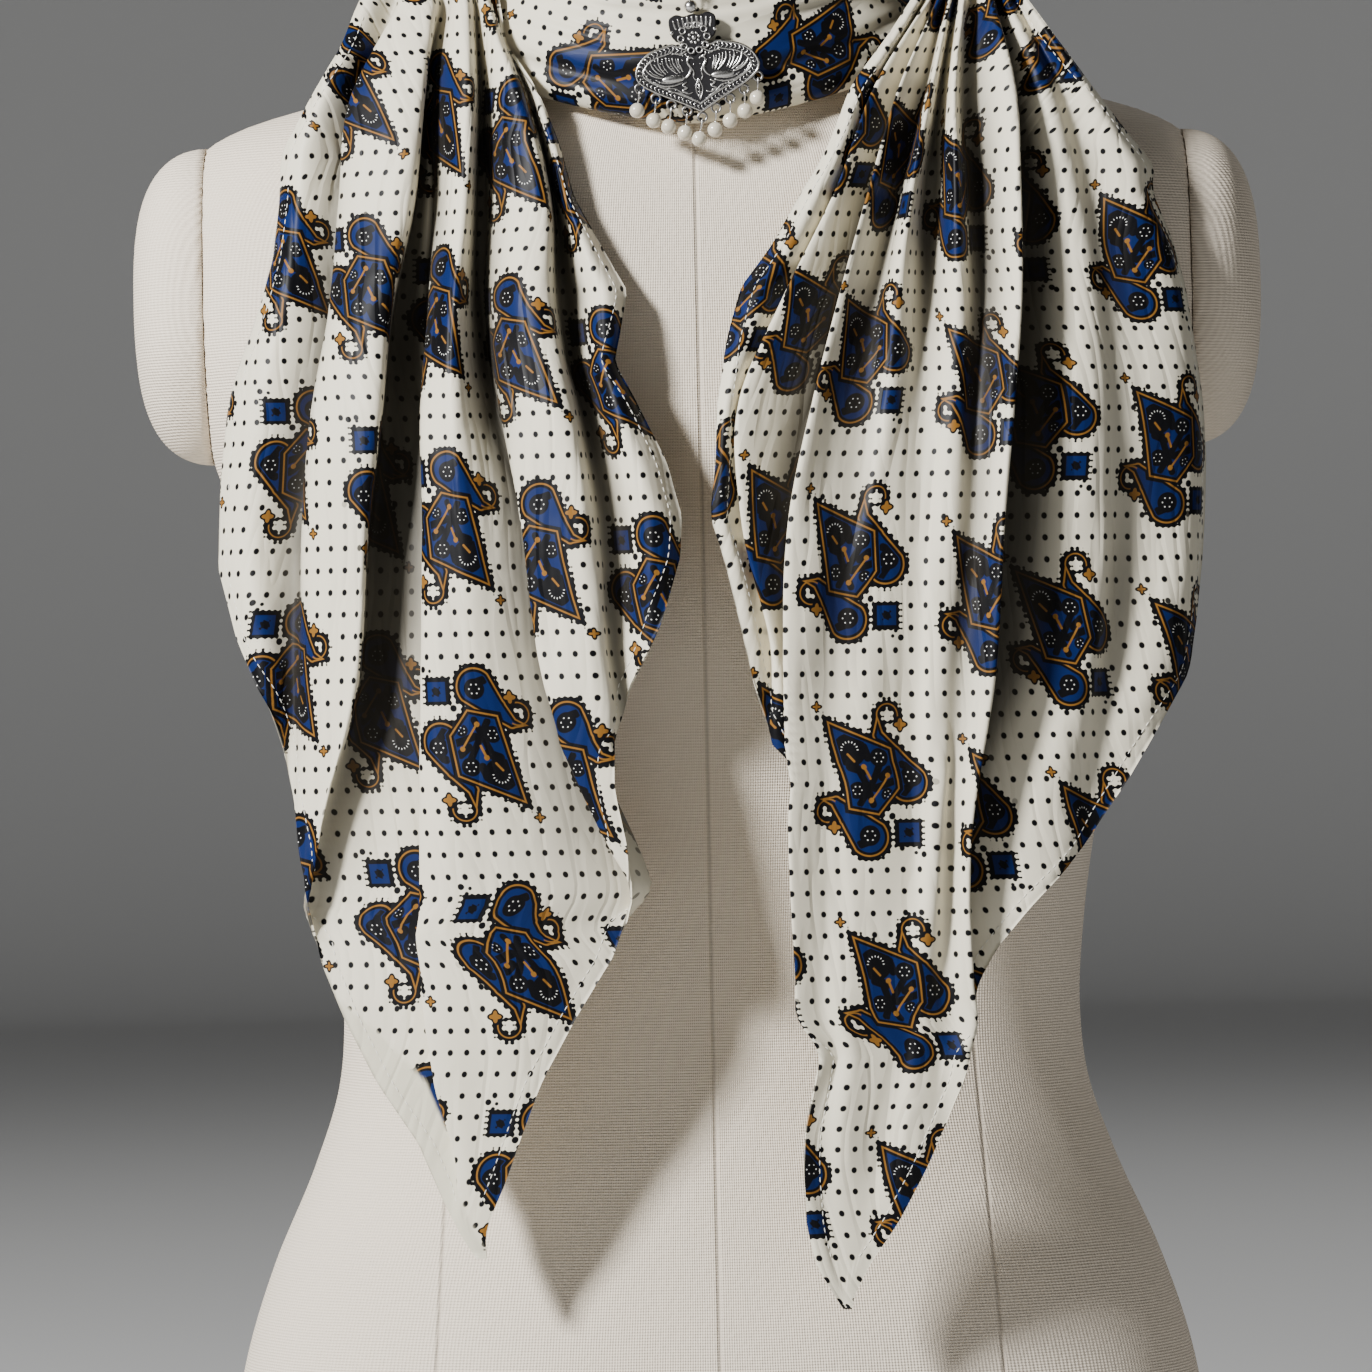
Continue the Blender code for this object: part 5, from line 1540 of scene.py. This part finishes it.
bars, first_bar, bar_step, bar_foot, bar_top = CROWN_BARS
for number in range(bars):
    x = first_bar + bar_step * number
    foot = crown_base + bar_foot
    top = crown_base + bar_top - 0.02 * x * x
    line = [(x * 0.92, foot), (x, (top + foot) / 2), (x * 1.04, top)]
    relief.append(tube(on_plate(evenly(line, 0.5), 0.55), 0.42))
for side in (-1, 1):
    relief.append(bead(on_plate([(side * 8.0, crown_base + 3.6)], 0.5)[0], 0.8, 12, 8))


# %% The cast rings, the bead and the sewn ring
def ring_height(place):
    """How high a cast ring's middle lies under the plate's edge, from the plate's top."""
    lower = np.array(PLATE_OUTLINE[WIDEST_ROW:])[::-1]
    return np.interp(abs(place), lower[:, 0], lower[:, 1]) - RING_RADIUS - RING_OVERHANG


cast_rings = []
for place in RING_PLACES:
    ring = circle((place, ring_height(place)), RING_RADIUS, 28)
    cast_rings.append(tube(on_plate(ring, FACE - HINGE_FRONT), WIRE / 2, closed=True, sides=10))


def hung(parts):
    """Joined parts, turned to the angle at which the pendant hangs."""
    vertices, faces = joined(parts)
    return tilted(vertices, PIVOT, PENDANT_TILT), faces


plate_ground = outward(add_mesh("pendant_ground", *hung([ground, crown, disc]), dark_silver))
plate_ground.data.set_sharp_from_angle(angle=math.radians(35))
plate_relief = outward(add_mesh("pendant_relief", *hung(relief), bright_silver))
plate_rings = outward(add_mesh("pendant_rings", *hung(cast_rings), aged_silver))

bead_middle = CROWN_BASE + CROWN_OUTLINE[0][1] + SEAM_GAP + TOP_BEAD_DIAMETER / 2


def link_parts(seat, low, radius, wire):
    """An oval link in the plane across the picture, hanging on the wire at its seat."""
    high = seat[2] + WIRE / 2 + SEAM_GAP + wire / 2
    turn = circle_turns(32)
    straight = high - low - 2 * radius
    middle = (high + low) / 2
    y = seat[1] + radius * np.cos(turn)
    z = middle + radius * np.sin(turn) + np.where(np.sin(turn) > 0, 0.5, -0.5) * straight
    path = np.stack([np.full(len(turn), seat[0]), y, z], 1)
    return tube(path, wire / 2, closed=True, sides=10, around=(1.0, 0.0, 0.0))


eye_low = bead_middle + TOP_BEAD_DIAMETER / 2 - WIRE / 2
top_parts = [
    bead((PLATE_MIDDLE, HINGE_FRONT, bead_middle), TOP_BEAD_DIAMETER / 2, 32, 20),
    link_parts(PIVOT, eye_low, LINK_RADIUS, WIRE * 0.8),
]
top_bead = outward(add_mesh("top_bead", *hung(top_parts), bright_silver))
sewn_path = np.insert(
    circle((PLATE_MIDDLE, HINGE_HEIGHT + SEWN_RING_RADIUS), SEWN_RING_RADIUS, 40),
    1, HINGE_FRONT, axis=1)
sewn_ring = outward(add_mesh(
    "sewn_ring", *tube(sewn_path, WIRE / 2, closed=True, sides=12), bright_silver))
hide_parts("pendant_plate")
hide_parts("pendant_top_bead")
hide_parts("pendant_sewn_ring")
for piece in (plate_ground, plate_relief, plate_rings, top_bead):
    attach(piece, "pendant")
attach(sewn_ring, "dressed_form")
print("relief corners:", len(plate_relief.data.vertices))

# %% [markdown]
# ## The pearls
#
# Each pearl hangs on an oval link in its own cast ring, leaning a little its own way, so that
# no two hang alike.

# %% Pearls and links
for number, place in enumerate(RING_PLACES):
    centre = np.array([[PLATE_MIDDLE + place, HINGE_FRONT, PLATE_TOP + ring_height(place)]])
    centre = tilted(centre, PIVOT, PENDANT_TILT)[0]
    lean = PEARL_LEANS[number]
    turn = math.radians(PENDANT_TILT + lean)
    seat = centre + RING_RADIUS * np.array([math.sin(turn), 0, -math.cos(turn)])
    low = seat[2] - LINK_DROP
    vertices, faces = link_parts(seat, low, LINK_RADIUS, LINK_WIRE)
    word = str(number + 1)
    link = outward(add_mesh("link_" + word, tilted(vertices, seat, lean), faces, bright_silver))
    middle = low - LINK_WIRE / 2 - SEAM_GAP - PEARL_DIAMETER / 2
    vertices, faces = bead((seat[0], seat[1], middle), PEARL_DIAMETER / 2, 36, 24)
    pearl = outward(add_mesh(
        "pearl_" + word + "_bead", tilted(vertices, seat, lean), faces, pearl_finish))
    vertices, faces = tube([(seat[0], seat[1], low - 0.1), (seat[0], seat[1], middle + 2.2)],
                           PIN_RADIUS, around=(1.0, 0.0, 0.0))
    pin = outward(add_mesh("pin_" + word, tilted(vertices, seat, lean), faces, bright_silver))
    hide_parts("pearl_link_" + word)
    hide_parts("pearl_" + word)
    for piece, slot in ((link, "silver"), (pearl, "pearl"), (pin, "silver")):
        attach(piece, "drop_" + word)
print("pearls:", len(RING_PLACES))

# %% [markdown]
# ## Sewing
#
# Small pale stitches run along the hems, six millimetres in, and a few turns of thread hold the
# pendant's ring to the band.  Each stitch is a short spindle laid on the cloth; a texture could
# show them flat, but real thread stands up and catches the light.

# %% Stitches
STITCH_STEP = 3.1          # mm from one stitch to the next
STITCH_LENGTH = 2.0
THREAD = 0.2               # mm, the thread's radius
thread_shader = Shader("pale thread")
thread_shader.feed("Base Color", (0.80, 0.78, 0.70, 1))
thread_shader.feed("Roughness", 0.6)
thread = thread_shader.material


def hem_line(sheet, from_edge):
    """The line on the right side of a tail that keeps a distance from one of its side hems."""
    across = arc_lengths(sheet, 1)
    wide = across[:, -1]
    normals = grid_normals(sheet)
    rows = np.nonzero((wide > 3 * HEM_WIDTH) & (sheet[:, 0, 2] < LEVELS[0]))[0]
    line = []
    for row in rows:
        place = from_edge if from_edge > 0 else wide[row] + from_edge
        point = [np.interp(place, across[row], sheet[row, :, axis]) for axis in range(3)]
        way = [np.interp(place, across[row], normals[row, :, axis]) for axis in range(3)]
        line.append(np.array(point) + np.array(way) * (HALF_WALL + THREAD * 0.7))
    return np.array(line)


def stitches(line):
    """Spindles along a line: thread radius times sin of the share along each."""
    gone = along_path(line)
    parts = []
    for start in np.arange(1.0, gone[-1] - STITCH_LENGTH, STITCH_STEP):
        places = start + STITCH_LENGTH * np.linspace(0, 1, 5)
        path = np.stack([np.interp(places, gone, line[:, axis]) for axis in range(3)], 1)
        parts.append(tube(path, (0.06, 0.9 * THREAD, THREAD, 0.9 * THREAD, 0.06), sides=6))
    return parts


for word, sheet in (("left", left_sheet), ("right", right_sheet)):
    parts = stitches(hem_line(sheet, HEM_WIDTH)) + stitches(hem_line(sheet, -HEM_WIDTH))
    sewing = outward(add_mesh(word + "_hem_stitches", *joined(parts), thread))
    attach(sewing, "dressed_form")
    print(word, "stitches:", len(parts))

# Turns of thread over the top of the sewn ring: x from the ring's middle.
THREAD_TURNS = (-0.9, -0.2, 0.5)
ring_top = HINGE_HEIGHT + 2 * SEWN_RING_RADIUS
turns_of_thread = []
for x in THREAD_TURNS:
    lift = np.linspace(0, math.pi, 13)
    loop = np.stack([
        np.full(13, PLATE_MIDDLE + x), HINGE_FRONT + 1.6 - 2.4 * np.sin(lift),
        ring_top + 1.1 * np.cos(lift)], 1)
    turns_of_thread.append(tube(loop, THREAD, sides=8, around=(1.0, 0.0, 0.0)))
ring_thread = outward(add_mesh("ring_thread", *joined(turns_of_thread), thread))
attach(ring_thread, "dressed_form")

# %% [markdown]

# %% [markdown]
# ## Floor and light
#
# A plain pale floor that curves up all round, so it looks the same from every side.  One soft
# light high on the left in front, and weaker ones to fill.

# %% Floor and light
FLOOR_REACH, RISE_RADIUS, WALL_TOP = 4700.0, 900.0, 1700.0


def floor_points():
    """A profile turned about the upright axis: flat, a quarter circle, then a plain wall.

    At the angle a round the axis, a profile point (r, z) lies at (r cos a, r sin a, z).
    """
    turn = np.linspace(0, math.pi / 2, 24)
    radius = np.concatenate([np.linspace(1, FLOOR_REACH, 20),
                             FLOOR_REACH + RISE_RADIUS * np.sin(turn[1:]),
                             np.full(6, FLOOR_REACH + RISE_RADIUS)])
    rise = np.concatenate([np.zeros(20), RISE_RADIUS * (1 - np.cos(turn[1:])),
                           np.linspace(RISE_RADIUS + 200, WALL_TOP, 6)])
    angle = np.linspace(0, 2 * math.pi, 97)[:, None]
    return np.stack([radius * np.cos(angle), radius * np.sin(angle),
                     np.broadcast_to(rise, (97, rise.size))], -1)


floor_shader = Shader("pale floor")
floor_shader.feed("Base Color", (0.47, 0.47, 0.465, 1))
floor_shader.feed("Roughness", 0.8)
floor_grid = floor_points()
floor = add_mesh("floor", floor_grid.reshape(-1, 3), grid_faces(*floor_grid.shape[:2]),
                 floor_shader.material)


def soft_light(name, place, aim, side, power):
    """A square light that looks at a point; place and aim in metres."""
    data = bpy.data.lights.new(name, "AREA")
    data.shape = "SQUARE"
    data.size = side
    data.energy = power
    light = bpy.data.objects.new(name, data)
    light.location = place
    way = Vector(aim) - Vector(place)
    light.rotation_euler = way.to_track_quat("-Z", "Y").to_euler()
    bpy.context.scene.collection.objects.link(light)


soft_light("key", (-1.95, -1.85, 1.8), (0, 0, 0.4), 0.4, 215)
soft_light("fill", (2.4, -2.2, 0.8), (0, 0, 0.35), 1.4, 5)
soft_light("back", (0.9, 1.9, 2.2), (0, 0, 0.4), 1.4, 14)
world = bpy.data.worlds.new("soft grey")
world.use_nodes = True
world.node_tree.nodes["Background"].inputs[0].default_value = (0.75, 0.77, 0.8, 1)
world.node_tree.nodes["Background"].inputs[1].default_value = 0.02
bpy.context.scene.world = world
print("lights: 3")
